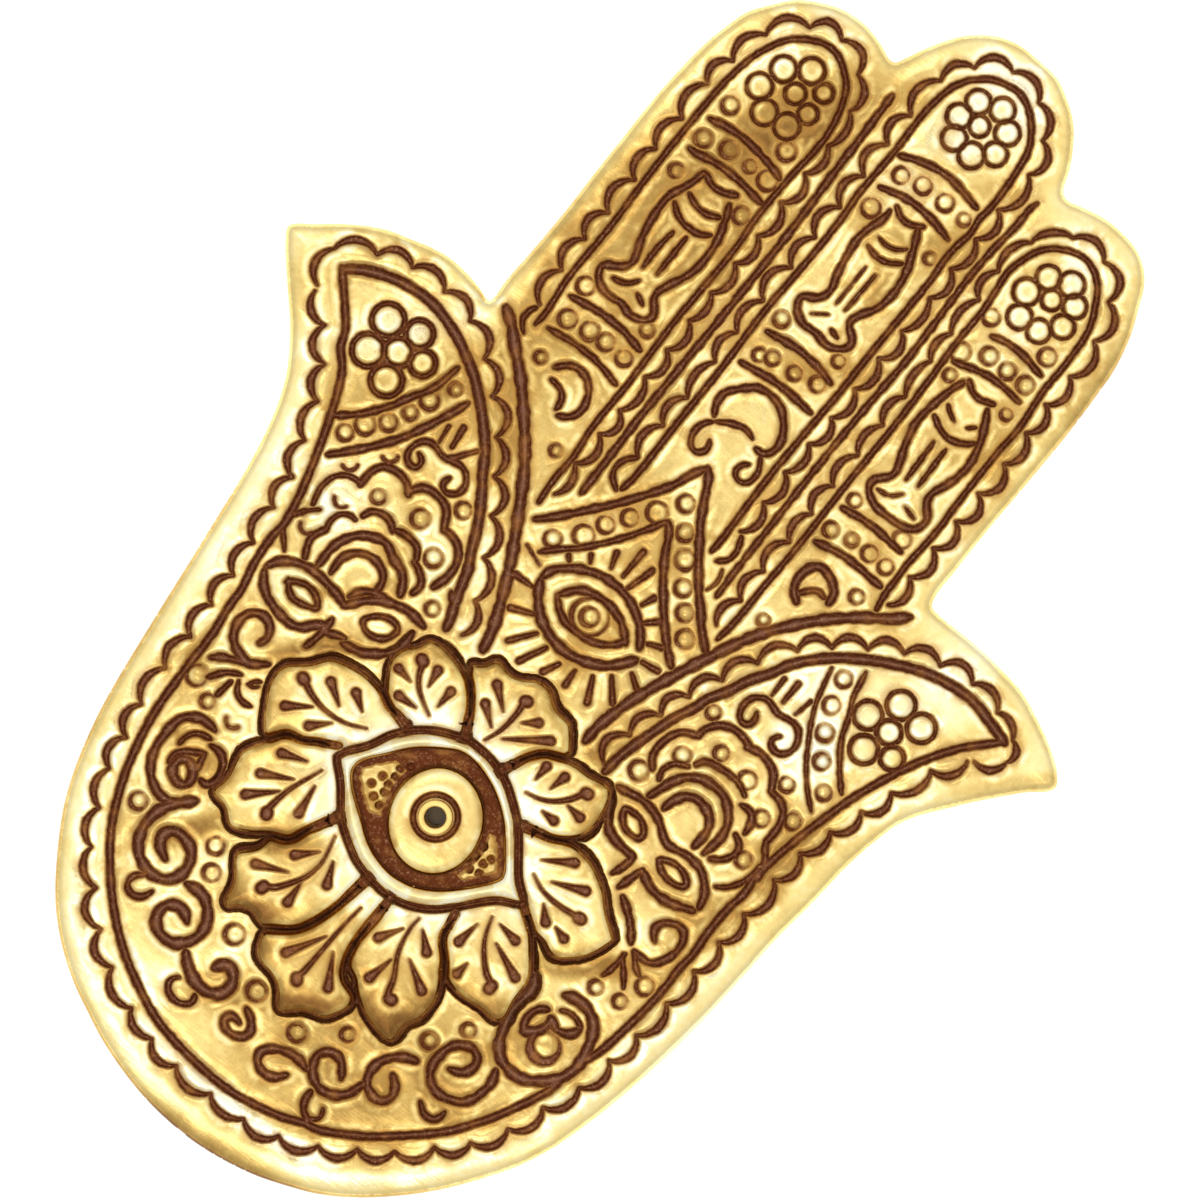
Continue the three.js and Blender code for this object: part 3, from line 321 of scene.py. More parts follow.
    (0.45, pts("""-27.08,-12.10 -26.85,-11.31 -26.03,-10.66""")),
]
# bows that meet at sharp corners
ARCS = [
    (0.72, pts("""-17.01,37.04 -16.24,36.68 -15.38,36.51 -14.40,36.80 -13.53,37.24""")),
    (0.68, pts("""-0.93,45.87 -0.18,45.38 0.69,45.21 1.39,45.40 2.19,45.92""")),
    (0.68, pts("""14.73,37.13 15.54,36.56 16.54,36.38 17.88,36.83""")),
    (0.95, pts("""14.82,10.61 14.01,11.18 13.64,12.11 13.63,13.19 14.01,14.10 14.74,14.56 15.68,14.45 16.57,13.94 17.23,13.25
        17.33,12.36""")),
    (0.72, pts("""14.65,11.45 15.13,12.07 15.80,12.60 16.60,12.51""")),
    (0.81, pts("""13.94,-10.37 13.35,-9.62 13.10,-8.85 13.15,-7.84 13.39,-6.91 13.90,-6.03 14.71,-5.51 15.48,-5.26""")),
    (0.81, pts("""15.42,-5.19 15.52,-4.38 15.94,-3.69 16.48,-3.14 17.34,-2.70 18.37,-2.61 19.23,-2.78 20.08,-3.08""")),
    (0.86, pts("""19.79,-3.19 20.78,-2.89 21.65,-2.93 22.57,-3.17 23.39,-3.74 24.13,-4.98""")),
    (0.81, pts("""24.05,-5.04 24.85,-5.13 25.83,-5.45 26.38,-5.99 26.73,-7.05 26.82,-8.07 26.77,-9.08""")),
    (0.77, pts("""26.77,-9.08 27.09,-9.80 27.70,-10.41 28.06,-11.34 28.28,-12.38""")),
    (0.63, pts("""15.11,-10.78 14.79,-10.06 14.94,-9.33 15.36,-8.64 16.51,-8.09""")),
    (0.77, pts("""16.99,-7.47 17.33,-6.83 18.12,-6.45 19.02,-6.35 19.91,-6.25 20.92,-6.30""")),
    (0.63, pts("""20.92,-6.30 21.71,-6.53 22.40,-6.95""")),
    (0.72, pts("""24.04,-10.39 24.87,-10.83 25.16,-11.81 24.54,-13.03 23.59,-13.66""")),
    (0.59, pts("""-26.85,-10.70 -27.20,-9.64 -27.28,-8.62 -27.02,-7.56 -26.45,-6.75 -25.66,-6.36 -24.50,-6.30""")),
    (0.81, pts("""-24.52,-6.43 -24.54,-5.48 -24.36,-4.48 -23.87,-3.73 -22.94,-3.36 -21.99,-3.33 -21.01,-3.65 -20.34,-4.34""")),
    (0.86, pts("""-20.54,-4.25 -20.19,-3.61 -19.64,-2.93 -18.59,-2.71 -17.58,-2.76 -16.62,-3.21 -16.10,-4.02 -15.60,-4.96""")),
    (0.86, pts("""-15.59,-4.83 -14.71,-4.86 -13.67,-5.25 -13.00,-5.94 -12.64,-6.86 -12.55,-7.89 -12.72,-8.75 -13.04,-9.73""")),
    (0.59, pts("""-24.34,-11.87 -24.59,-11.10 -24.50,-10.30 -24.08,-9.60 -23.36,-9.28 -22.82,-9.34""")),
    (0.77, pts("""-24.40,-11.80 -24.82,-12.50 -25.05,-13.28 -24.87,-14.12 -24.37,-15.06""")),
    (0.77, pts("""-22.46,-8.57 -22.18,-7.85 -21.45,-7.40 -20.69,-7.28 -19.90,-7.51 -19.41,-7.97""")),
    (0.77, pts("""-19.04,-7.68 -18.20,-7.50 -17.33,-7.54 -16.48,-7.84 -15.96,-8.65""")),
    (0.77, pts("""-15.94,-8.99 -15.16,-9.35 -14.41,-9.84 -14.03,-10.64 -14.25,-11.42""")),
]
# short rays
RAYS = [
    (0.71, pts("""-7.79,-3.99 -5.71,-3.89""")),
    (0.71, pts("""-6.11,-6.78 -3.91,-5.83""")),
    (0.64, pts("""-4.33,-9.35 -2.62,-7.09""")),
    (0.71, pts("""-2.32,-10.19 -1.07,-7.64""")),
    (0.71, pts("""0.11,-9.61 0.83,-8.08""")),
    (0.71, pts("""2.54,-9.27 2.43,-7.66""")),
    (0.71, pts("""5.23,-9.31 4.08,-7.02""")),
    (0.67, pts("""7.14,-7.84 5.50,-5.91""")),
    (0.62, pts("""8.01,-5.31 6.80,-4.51""")),
    (0.71, pts("""8.59,-2.81 6.92,-3.04""")),
    (0.68, pts("""7.53,-0.79 6.23,-1.38""")),
    (0.71, pts("""5.81,0.97 4.67,-0.15""")),
    (0.67, pts("""4.05,2.44 3.52,1.18""")),
    (0.71, pts("""2.28,4.33 1.51,1.59""")),
    (0.71, pts("""0.52,5.24 0.46,2.24""")),
    (0.65, pts("""-1.41,3.60 -0.91,2.14""")),
    (0.54, pts("""-3.19,1.93 -2.73,1.24""")),
    (0.52, pts("""-4.87,0.60 -4.41,0.14""")),
    (0.38, pts("""-8.53,-1.09 -6.40,-1.90""")),
    (0.45, pts("""-21.37,3.16 -21.14,1.26""")),
    (0.71, pts("""-20.17,3.88 -19.89,1.78""")),
    (0.71, pts("""-19.46,0.62 -17.72,3.01""")),
    (0.54, pts("""18.50,4.11 18.54,2.10""")),
    (0.67, pts("""19.84,4.55 19.78,2.29""")),
    (0.48, pts("""21.81,3.95 21.39,2.07""")),
]
# punched rings: x, y, radius, line width
RINGS = [
    (-19.36, 39.55, 0.82, 0.40),
    (-16.77, 40.26, 0.82, 0.40),
    (-14.20, 40.23, 0.63, 0.40),
    (-12.10, 40.19, 0.96, 0.40),
    (-18.81, 18.13, 0.87, 0.40),
    (-16.46, 18.53, 0.87, 0.40),
    (-14.61, 18.65, 0.82, 0.40),
    (-12.32, 18.52, 0.77, 0.40),
    (-2.46, 48.43, 0.77, 0.40),
    (-0.23, 48.98, 0.82, 0.40),
    (2.42, 49.01, 0.82, 0.40),
    (4.84, 48.86, 0.63, 0.40),
    (-2.42, 26.73, 0.63, 0.40),
    (-1.27, 27.27, 0.68, 0.40),
    (1.26, 27.45, 0.68, 0.40),
    (3.63, 27.99, 0.77, 0.40),
    (12.34, 38.77, 0.96, 0.40),
    (14.74, 40.18, 0.82, 0.40),
    (16.98, 40.13, 0.77, 0.40),
    (19.15, 40.14, 0.82, 0.40),
    (13.17, 17.93, 0.72, 0.40),
    (15.33, 18.42, 0.63, 0.40),
    (17.50, 18.44, 0.77, 0.40),
    (19.46, 18.41, 0.72, 0.40),
    (-28.71, -3.43, 0.77, 0.40),
    (-27.69, -1.65, 0.96, 0.40),
    (-26.09, -0.14, 0.82, 0.40),
    (-25.04, 1.90, 0.68, 0.40),
    (-24.33, 3.92, 0.87, 0.40),
    (-23.04, 6.28, 0.63, 0.40),
    (22.94, 7.57, 0.77, 0.40),
    (23.58, 4.91, 0.82, 0.40),
    (24.66, 2.48, 0.82, 0.40),
    (26.15, 0.14, 0.77, 0.40),
    (28.13, -2.06, 0.72, 0.40),
    (-19.30, 43.61, 0.81, 0.40),
    (-12.40, 43.48, 0.90, 0.40),
    (-19.49, 35.56, 0.67, 0.40),
    (-11.98, 36.04, 0.81, 0.40),
    (-19.42, 21.65, 0.86, 0.40),
    (-12.26, 21.97, 0.67, 0.40),
    (-18.58, 13.69, 0.57, 0.40),
    (-11.96, 7.63, 0.57, 0.40),
    (-2.81, 44.26, 0.90, 0.40),
    (4.61, 43.94, 0.57, 0.40),
    (-2.90, 30.71, 0.76, 0.40),
    (3.84, 30.95, 0.62, 0.40),
    (12.59, 43.21, 0.81, 0.40),
    (19.14, 43.54, 0.86, 0.40),
    (12.95, 36.46, 0.62, 0.40),
    (19.44, 36.86, 0.57, 0.40),
    (13.25, 21.51, 0.67, 0.40),
    (19.06, 21.37, 0.86, 0.40),
    (19.07, 14.46, 0.67, 0.40),
    (13.48, 7.24, 0.57, 0.40),
    (-6.99, 0.88, 0.81, 0.40),
    (-4.85, 2.94, 1.00, 0.40),
    (-3.86, 5.06, 0.81, 0.40),
    (-2.48, 7.00, 0.81, 0.40),
    (-0.76, 8.97, 1.00, 0.40),
    (0.88, 11.36, 0.81, 0.40),
    (2.52, 9.13, 0.81, 0.40),
    (4.11, 7.12, 0.95, 0.40),
    (5.62, 4.91, 0.81, 0.40),
    (7.24, 3.16, 0.81, 0.40),
    (8.78, 1.22, 0.86, 0.40),
    (-22.47, -6.26, 0.67, 0.40),
    (-18.03, -5.42, 0.86, 0.40),
    (-14.75, -7.57, 0.86, 0.40),
    (-11.81, -11.44, 0.67, 0.40),
    (-15.29, -2.28, 0.76, 0.40),
    (18.21, -5.17, 0.71, 0.40),
    (21.74, -5.65, 0.86, 0.40),
    (25.03, -7.66, 0.76, 0.40),
    (26.11, -11.79, 0.76, 0.40),
    (13.09, -11.29, 0.90, 0.40),
    (15.18, -2.58, 0.67, 0.40),
    (24.89, -3.64, 0.71, 0.40),
    (27.53, -6.05, 0.76, 0.40),
    (15.41, -7.62, 0.81, 0.40),
    (-25.46, -30.25, 1.00, 0.40),
    (-23.11, -31.54, 0.67, 0.40),
    (-22.41, -43.02, 0.81, 0.40),
    (-14.00, -41.83, 0.81, 0.40),
    (-12.70, -44.08, 0.81, 0.40),
    (-7.38, -47.28, 0.95, 0.40),
    (-2.37, -50.23, 0.95, 0.40),
    (3.04, -50.93, 0.86, 0.40),
    (6.97, -48.07, 0.67, 0.40),
    (13.37, -43.73, 0.76, 0.40),
    (15.69, -40.68, 0.67, 0.40),
    (22.64, -29.96, 0.67, 0.40),
    (25.26, -29.59, 0.67, 0.40),
    (26.24, -26.99, 0.86, 0.40),
    (22.32, -37.38, 1.43, 0.90),
    (0.38, -2.75, 1.81, 0.50),
    (0.38, -2.75, 0.86, 0.50),
]
# beads of the flowers: centre, radius, line width
BEADS = [
    ((-15.15, 48.28), 1.00, 0.37),
    ((-17.47, 49.43), 1.24, 0.37),
    ((-15.26, 50.93), 1.24, 0.37),
    ((-13.06, 50.00), 0.90, 0.37),
    ((-13.02, 47.49), 0.95, 0.37),
    ((-13.87, 45.35), 1.24, 0.37),
    ((-16.35, 45.09), 1.24, 0.37),
    ((-18.26, 46.74), 1.24, 0.37),
    ((0.46, 56.70), 1.00, 0.37),
    ((-1.03, 58.43), 1.19, 0.37),
    ((1.24, 59.25), 1.19, 0.37),
    ((2.97, 57.83), 1.19, 0.37),
    ((3.31, 55.55), 1.14, 0.37),
    ((1.58, 54.06), 1.24, 0.37),
    ((-0.69, 54.32), 1.19, 0.37),
    ((-1.62, 56.26), 1.19, 0.37),
    ((16.07, 48.03), 1.00, 0.37),
    ((14.54, 49.50), 1.19, 0.37),
    ((16.67, 50.33), 1.24, 0.37),
    ((18.20, 48.87), 1.14, 0.37),
    ((18.48, 46.66), 1.14, 0.37),
    ((16.93, 44.95), 1.14, 0.37),
    ((14.68, 44.87), 1.19, 0.37),
    ((13.73, 47.15), 1.29, 0.37),
    ((-29.48, 5.67), 1.38, 0.59),
    ((-32.12, 7.47), 1.57, 0.59),
    ((-28.98, 8.26), 1.33, 0.59),
    ((-27.04, 6.27), 1.24, 0.59),
    ((-28.72, 2.87), 1.52, 0.59),
    ((-31.84, 4.05), 1.57, 0.59),
    ((29.44, 6.27), 1.19, 0.45),
    ((28.74, 8.99), 1.38, 0.45),
    ((31.59, 8.46), 1.38, 0.45),
    ((31.20, 4.50), 1.14, 0.45),
    ((28.57, 3.52), 1.38, 0.45),
    ((26.86, 6.30), 1.38, 0.45),
]
# small crescent punches
CRESCENTS = [
    pts("-24.27,-8.89 -24.39,-9.09 -24.56,-9.25 -24.77,-9.35 -25.00,-9.37 -25.23,-9.33 -25.43,-9.22 -25.59,-9.06 -25.70,-8.85"),
    pts("-25.27,-12.85 -25.39,-13.05 -25.56,-13.20 -25.77,-13.30 -26.00,-13.33 -26.23,-13.28 -26.43,-13.18 -26.60,-13.01 -26.70,-12.80"),
    pts("-19.33,-31.71 -19.45,-31.91 -19.62,-32.06 -19.83,-32.16 -20.06,-32.19 -20.29,-32.15 -20.50,-32.04 -20.66,-31.87 -20.77,-31.67"),
    pts("-25.84,-5.14 -25.80,-5.37 -25.84,-5.60 -25.94,-5.80 -26.09,-5.97 -26.29,-6.09 -26.52,-6.14 -26.75,-6.12 -26.97,-6.03"),
    pts("-23.33,-2.18 -23.29,-2.40 -23.32,-2.63 -23.42,-2.84 -23.58,-3.01 -23.78,-3.13 -24.01,-3.18 -24.24,-3.15 -24.45,-3.06"),
]
# lotus petals, eyelid, veins and drops
PETALS = [
    pts("""-10.65,-27.58 -12.05,-27.79 -13.75,-28.76 -15.16,-29.11 -15.59,-29.49 -16.17,-30.54 -16.55,-30.76
        -16.99,-30.76 -17.33,-30.53 -18.06,-29.65 -19.59,-26.98 -19.80,-26.24 -19.89,-25.27 -19.83,-24.68
        -19.62,-24.12 -17.88,-22.60 -16.58,-20.93 -15.89,-20.60 -13.88,-20.14 -12.74,-20.03 -11.41,-20.19
        -10.68,-20.40 -9.00,-21.24 -7.07,-21.37"""),
    pts("""-11.10,-27.57 -12.28,-27.87 -13.78,-28.78 -15.22,-29.25 -17.49,-32.35 -17.78,-33.03 -17.83,-33.59
        -17.41,-35.80 -17.46,-36.64 -17.71,-37.49 -17.58,-38.07 -17.08,-38.38 -15.70,-38.56 -14.58,-39.51
        -14.18,-39.68 -13.51,-39.63 -12.58,-39.22 -11.91,-38.84 -10.57,-37.79 -9.30,-37.21 -8.80,-36.85 -8.57,-36.52
        -8.19,-35.39 -7.18,-33.25"""),
    pts("""-7.20,-33.32 -8.22,-35.46 -8.71,-36.74 -9.26,-37.27 -10.48,-37.74 -10.71,-38.14 -10.87,-39.21 -12.26,-40.84
        -12.05,-41.64 -10.73,-43.53 -10.30,-45.41 -9.92,-45.87 -9.38,-45.86 -8.68,-45.11 -7.88,-44.78 -7.23,-44.76
        -6.22,-45.17 -5.81,-45.13 -3.99,-44.01 -3.24,-43.36 -2.46,-42.21 -1.76,-40.41 -1.14,-37.98 -1.06,-36.00"""),
    pts("""0.37,-36.04 -0.88,-36.30 -1.38,-38.97 -2.05,-41.23 -2.81,-42.81 -3.36,-43.44 -5.24,-44.78 -5.52,-45.19
        -5.61,-45.48 -4.95,-47.25 -4.53,-47.67 -4.01,-47.95 -2.43,-48.20 -1.68,-48.48 -0.92,-49.11 0.00,-50.36
        0.35,-50.54 0.79,-50.38 2.35,-49.00 4.37,-48.31 4.63,-48.03 5.58,-46.25 5.64,-45.43 5.40,-44.85 5.11,-44.56
        3.36,-43.97 2.61,-42.81 2.09,-40.74 2.01,-36.55"""),
    pts("""2.05,-36.44 2.00,-39.07 2.13,-40.88 2.45,-42.37 2.69,-42.91 3.00,-43.16 3.94,-43.54 5.02,-44.54 7.33,-45.84
        9.37,-46.35 10.12,-46.36 10.75,-46.17 10.96,-45.62 10.89,-43.84 11.55,-42.82 11.69,-42.26 11.69,-40.15
        10.78,-38.20 9.79,-36.80 8.58,-35.60 8.19,-34.98 8.06,-34.26 8.16,-31.99"""),
    pts("""8.16,-31.99 8.06,-34.25 8.19,-34.97 8.57,-35.59 9.66,-36.65 10.53,-37.90 10.97,-38.28 11.68,-38.56
        13.26,-38.74 15.53,-38.50 16.84,-38.64 17.59,-38.24 17.82,-37.93 17.89,-37.37 17.52,-35.49 17.50,-33.59
        17.08,-32.54 15.64,-30.64 14.45,-29.43 12.94,-28.61 11.53,-28.54"""),
    pts("""9.48,-25.02 11.15,-26.94 14.36,-29.42 14.87,-29.66 15.88,-29.78 16.89,-30.26 17.55,-30.38 18.04,-30.28
        18.68,-29.92 20.05,-28.57 20.81,-27.23 21.38,-25.32 21.29,-25.14 19.07,-23.52 17.59,-22.06 15.66,-20.98
        14.98,-20.72 13.36,-20.48 12.43,-20.51 10.36,-21.49 9.00,-21.85"""),
    pts("""3.32,-18.15 3.74,-17.23 4.24,-16.47 4.82,-15.75 5.44,-15.32 7.92,-14.39 9.60,-14.35 11.47,-13.99 12.20,-14.20
        12.74,-15.01 13.17,-16.70 13.25,-18.26 12.93,-19.39 12.15,-20.40 10.79,-21.31 9.72,-21.70 7.95,-21.97"""),
    pts("""-2.36,-18.29 -3.03,-16.64 -4.06,-15.28 -5.45,-14.03 -5.74,-13.52 -5.78,-13.09 -4.76,-12.37 -4.27,-11.36
        -3.98,-11.15 -3.59,-11.10 -2.47,-11.41 -1.88,-11.42 -1.15,-11.17 0.13,-10.33 1.04,-10.19 1.95,-10.36
        3.03,-11.16 3.58,-11.42 5.29,-11.63 5.71,-12.01 7.13,-13.90 7.13,-14.25 6.79,-14.73 5.20,-15.45 4.64,-15.93
        3.91,-16.96 3.21,-18.38"""),
    pts("""-7.11,-21.56 -8.92,-21.22 -10.18,-20.64 -11.02,-19.72 -11.98,-18.07 -12.11,-17.25 -11.90,-16.22 -11.61,-15.67
        -10.87,-14.95 -10.39,-13.79 -9.82,-13.51 -8.21,-13.42 -5.22,-14.32 -4.01,-15.34 -2.95,-16.80 -2.50,-17.71"""),
]
LID_OUT = pts("""-10.24,-27.97 -9.98,-27.16 -8.51,-25.14 -7.40,-22.97 -5.76,-21.16 -4.71,-20.37 -3.39,-19.69 -1.52,-19.02
        -0.86,-18.91 0.71,-18.94 1.79,-19.12 3.86,-19.87 4.67,-20.33 7.05,-22.14 8.20,-23.37 10.49,-26.25
        12.15,-27.61 12.27,-27.86 12.16,-28.15 11.89,-28.37 10.53,-29.06 9.79,-29.61 6.06,-33.59 3.56,-34.96
        1.07,-35.35 0.32,-35.29 -2.60,-34.63 -3.62,-34.13 -5.72,-32.80 -6.43,-32.16 -8.51,-29.65 -9.92,-28.37""")
LID_IN = pts("""-7.86,-27.68 -6.24,-25.00 -4.38,-22.84 -1.80,-21.00 -1.13,-20.72 -0.25,-20.61 0.90,-20.77 2.58,-21.29
        3.86,-21.95 5.04,-22.77 5.85,-23.49 8.02,-26.08 8.53,-26.74 8.70,-27.20 8.43,-27.77 6.23,-30.37 4.52,-31.82
        2.81,-32.69 1.09,-33.01 0.11,-32.96 -0.84,-32.76 -1.93,-32.38 -2.95,-31.86 -3.88,-31.18""")
VEINS = [
    pts("""-9.62,-24.12 -11.60,-24.97 -13.73,-25.18 -15.43,-24.89 -17.36,-24.08"""),
    pts("""-10.49,-29.82 -11.85,-33.48 -12.18,-35.92 -12.01,-36.36"""),
    pts("""-5.65,-33.94 -5.11,-36.41 -5.13,-37.36 -5.32,-38.30 -5.67,-39.17 -6.81,-40.91 -7.18,-41.33 -7.99,-41.84
        -8.07,-42.11"""),
    pts("""0.47,-37.74 0.21,-40.08 -0.05,-45.77 -0.18,-46.67 -0.02,-46.91"""),
    pts("""5.40,-35.10 5.35,-36.49 5.83,-38.80 7.01,-41.01 7.68,-42.75 8.13,-42.78"""),
    pts("""10.72,-30.72 11.15,-32.05 11.88,-33.42 13.58,-35.22 14.72,-35.86 14.72,-36.22"""),
    pts("""11.31,-25.13 12.60,-25.71 13.74,-25.93 15.10,-25.94 17.44,-25.69"""),
    pts("""5.92,-19.53 7.46,-19.13 8.61,-18.46 9.67,-17.35 10.43,-16.06 10.64,-16.02"""),
    pts("""-0.20,-18.06 0.26,-16.92 0.49,-15.99 0.64,-14.09 0.55,-12.79 0.72,-12.69"""),
    pts("""-5.76,-19.49 -7.35,-18.61 -8.14,-18.03 -8.86,-17.10 -9.38,-15.88 -9.61,-15.76"""),
]
DROPS = [
    pts("-15.03,-22.72 -13.01,-24.04"),
    pts("-12.51,-22.07 -10.94,-23.13"),
    pts("-17.04,-27.23 -14.89,-25.65"),
    pts("-14.07,-27.31 -12.53,-25.73"),
    pts("-14.76,-36.11 -12.40,-33.88"),
    pts("-14.49,-30.92 -12.15,-30.04"),
    pts("-14.88,-33.66 -12.06,-32.15"),
    pts("-9.68,-34.40 -10.08,-31.44"),
    pts("-5.30,-41.62 -5.45,-39.43"),
    pts("-7.55,-37.70 -5.86,-35.99"),
    pts("-9.93,-40.67 -7.07,-39.38"),
    pts("-3.39,-38.05 -4.30,-35.97"),
    pts("-2.49,-45.47 -0.45,-41.91"),
    pts("2.71,-45.60 1.02,-42.69"),
    pts("3.49,-38.92 4.83,-36.77"),
    pts("5.18,-42.43 5.76,-39.79"),
    pts("7.96,-37.20 6.37,-35.79"),
    pts("9.84,-40.33 7.11,-38.73"),
    pts("9.70,-34.49 10.04,-32.15"),
    pts("11.45,-36.99 11.60,-35.66"),
    pts("13.83,-31.10 11.76,-30.79"),
    pts("16.01,-33.87 12.59,-32.45"),
    pts("13.68,-21.86 11.04,-23.59"),
    pts("16.16,-23.31 13.09,-24.64"),
    pts("17.29,-28.12 16.05,-27.77"),
    pts("15.00,-27.98 13.79,-26.76"),
    pts("5.92,-16.35 5.87,-17.97"),
    pts("7.91,-16.11 7.52,-17.76"),
    pts("11.40,-18.21 9.79,-18.02"),
    pts("9.63,-19.97 8.28,-19.95"),
    pts("-2.53,-13.20 -0.48,-14.86"),
    pts("-2.30,-15.32 -0.49,-16.69"),
    pts("2.78,-13.61 1.51,-14.62"),
    pts("4.74,-14.25 1.04,-16.93"),
    pts("-10.79,-17.79 -9.13,-18.05"),
    pts("-7.76,-15.64 -7.49,-17.36"),
    pts("-9.20,-19.81 -7.22,-19.70"),
    pts("-5.55,-16.44 -5.63,-18.33"),
]
STIPPLE = pts("""-6.07,-27.90 -5.66,-26.73 -4.63,-26.04 -4.57,-27.81 -4.17,-29.07 -4.10,-24.40 5.94,-26.05 5.88,-27.19
        6.95,-27.32 6.20,-28.52 -5.15,-28.75 -4.74,-26.97 -4.73,-25.14 7.31,-26.55 7.24,-28.30 5.40,-27.81""")
# broad darker (+) and paler (-) patches, partly tarnish and partly painted shade and painted highlight: x, y, half
# axes, direction, strength
TONES = [
    (-12.30, 47.81, 9.05, 3.62, 0.49, 0.87, 1.25),
    (-14.72, 31.68, 15.24, 6.19, 0.06, 1.00, 0.50),
    (-20.37, 32.68, 11.43, 4.29, 0.03, 1.00, 0.50),
    (-20.32, 14.51, 2.86, 4.76, 0.78, 0.62, 0.50),
    (-13.47, 16.28, 8.57, 5.71, 0.37, 0.93, 0.25),
    (-19.23, 51.19, 6.67, 2.29, 0.49, 0.87, -0.50),
    (-12.19, 33.08, 5.71, 3.81, 0.03, 1.00, 0.25),
    (-23.59, 28.31, 9.52, 1.24, -0.01, 1.00, 0.50),
    (-23.54, 22.88, 4.76, 1.90, 0.03, 1.00, 0.50),
    (-0.73, 61.58, 3.81, 2.48, 0.78, 0.62, -1.00),
    (-0.47, 55.11, 3.62, 3.05, 0.78, 0.62, -1.00),
    (3.65, 60.19, 2.10, 3.43, 0.78, 0.62, -1.00),
    (-1.32, 47.75, 2.86, 2.86, 0.78, 0.62, -0.50),
    (2.67, 44.23, 4.29, 2.38, 0.66, 0.75, 0.75),
    (2.72, 38.80, 2.86, 1.43, -0.15, 0.99, 0.75),
    (4.95, 52.10, 3.81, 1.24, 0.73, 0.69, 0.50),
    (2.63, 28.17, 5.71, 1.90, 0.78, 0.62, 0.75),
    (-3.74, 27.01, 2.67, 2.29, 0.78, 0.62, 0.25),
    (-9.34, 8.01, 3.81, 2.10, 1.00, 0.06, 0.50),
    (16.74, 52.09, 1.90, 4.29, 0.78, 0.62, -0.75),
    (16.28, 43.46, 3.05, 2.86, 0.78, 0.62, -0.50),
    (25.05, 42.51, 8.76, 1.90, -0.06, 1.00, 0.75),
    (19.27, 32.47, 3.81, 2.86, 0.37, 0.93, 0.50),
    (16.96, 18.50, 3.81, 1.71, 0.99, 0.15, 0.25),
    (-40.59, 6.36, 2.48, 2.38, 0.78, 0.62, 0.50),
    (-32.16, 5.38, 6.67, 2.10, 0.64, 0.77, -0.50),
    (-24.68, 4.37, 10.48, 4.29, 0.60, 0.80, 0.50),
    (-27.33, 10.78, 4.76, 2.10, 0.66, 0.75, -0.50),
    (-15.76, 4.14, 1.90, 4.29, 0.78, 0.62, 0.75),
    (-21.94, 9.34, 5.71, 3.05, 0.52, 0.85, 0.25),
    (-27.05, -7.22, 3.05, 3.43, 0.78, 0.62, -0.75),
    (-21.47, -5.84, 1.52, 2.86, 0.78, 0.62, -0.50),
    (-33.60, -8.15, 5.71, 1.52, -0.15, 0.99, -0.25),
    (-23.65, -9.99, 3.43, 2.86, 0.78, 0.62, -0.50),
    (-18.48, -3.47, 4.76, 1.90, 0.92, 0.40, 0.50),
    (-17.02, -9.61, 1.71, 4.00, 0.78, 0.62, 0.50),
    (-18.58, -14.85, 3.43, 0.95, 0.78, 0.62, 1.00),
    (-28.55, -22.98, 2.48, 1.52, 0.78, 0.62, 0.50),
    (-27.99, -29.82, 2.48, 1.52, 0.78, 0.62, 0.50),
    (-18.58, -21.77, 4.76, 1.05, 0.69, 0.72, 1.25),
    (-21.60, -36.06, 2.67, 3.81, 0.78, 0.62, 1.00),
    (-16.53, -42.01, 4.00, 1.33, 0.55, 0.83, 1.50),
    (-17.53, -47.65, 2.48, 5.71, 0.78, 0.62, -0.25),
    (-10.73, -56.24, 1.90, 2.48, 0.78, 0.62, -0.50),
    (-9.35, -48.47, 2.48, 1.33, 0.78, 0.62, 0.50),
    (9.92, -47.80, 17.14, 7.14, 0.75, 0.66, 0.75),
    (-3.34, -51.00, 3.81, 2.10, 0.78, 0.62, 1.00),
    (3.78, -46.95, 5.71, 1.33, 0.78, 0.62, 0.50),
    (15.20, -46.04, 1.43, 4.29, 0.78, 0.62, 0.75),
    (20.95, -28.75, 5.24, 1.33, 0.78, 0.62, 1.25),
    (23.75, -19.24, 2.86, 2.10, 1.00, -0.03, 0.50),
    (30.33, -12.21, 10.95, 2.86, 0.15, 0.99, 0.50),
    (28.23, -15.70, 11.43, 2.29, 0.15, 0.99, 0.50),
    (33.88, -16.69, 18.10, 0.86, 0.12, 0.99, -0.75),
    (0.03, -59.87, 8.57, 1.24, 1.00, -0.03, -1.25),
    (9.00, -59.69, 4.29, 1.05, 0.96, 0.28, -1.25),
    (3.46, -64.20, 10.00, 1.52, 0.99, 0.13, 1.00),
    (15.47, -52.51, 9.52, 2.86, 0.78, 0.62, 0.50),
    (31.11, 13.66, 4.00, 3.81, 0.78, 0.62, -0.50),
    (23.34, 0.47, 2.86, 4.00, 0.78, 0.62, -0.50),
    (18.30, 3.77, 7.62, 1.33, 0.66, 0.75, -0.25),
    (23.65, 3.14, 16.19, 5.71, 0.66, 0.75, -0.50),
    (10.99, -7.72, 3.81, 0.95, 0.45, 0.89, 0.50),
    (20.41, -4.28, 3.81, 2.86, 1.00, -0.03, 0.50),
    (42.31, 10.26, 5.71, 0.86, 0.69, 0.72, 0.50),
    (2.72, -2.48, 1.43, 1.33, 0.78, 0.62, 0.50),
    (9.36, -11.80, 2.86, 1.14, 0.52, 0.85, 1.00),
    (0.39, -7.37, 3.05, 1.43, 0.99, 0.15, 0.50),
    (7.00, -4.20, 3.81, 1.52, 0.78, 0.62, -0.50),
    (-2.24, 2.09, 8.57, 11.43, 0.78, 0.62, 0.25),
]
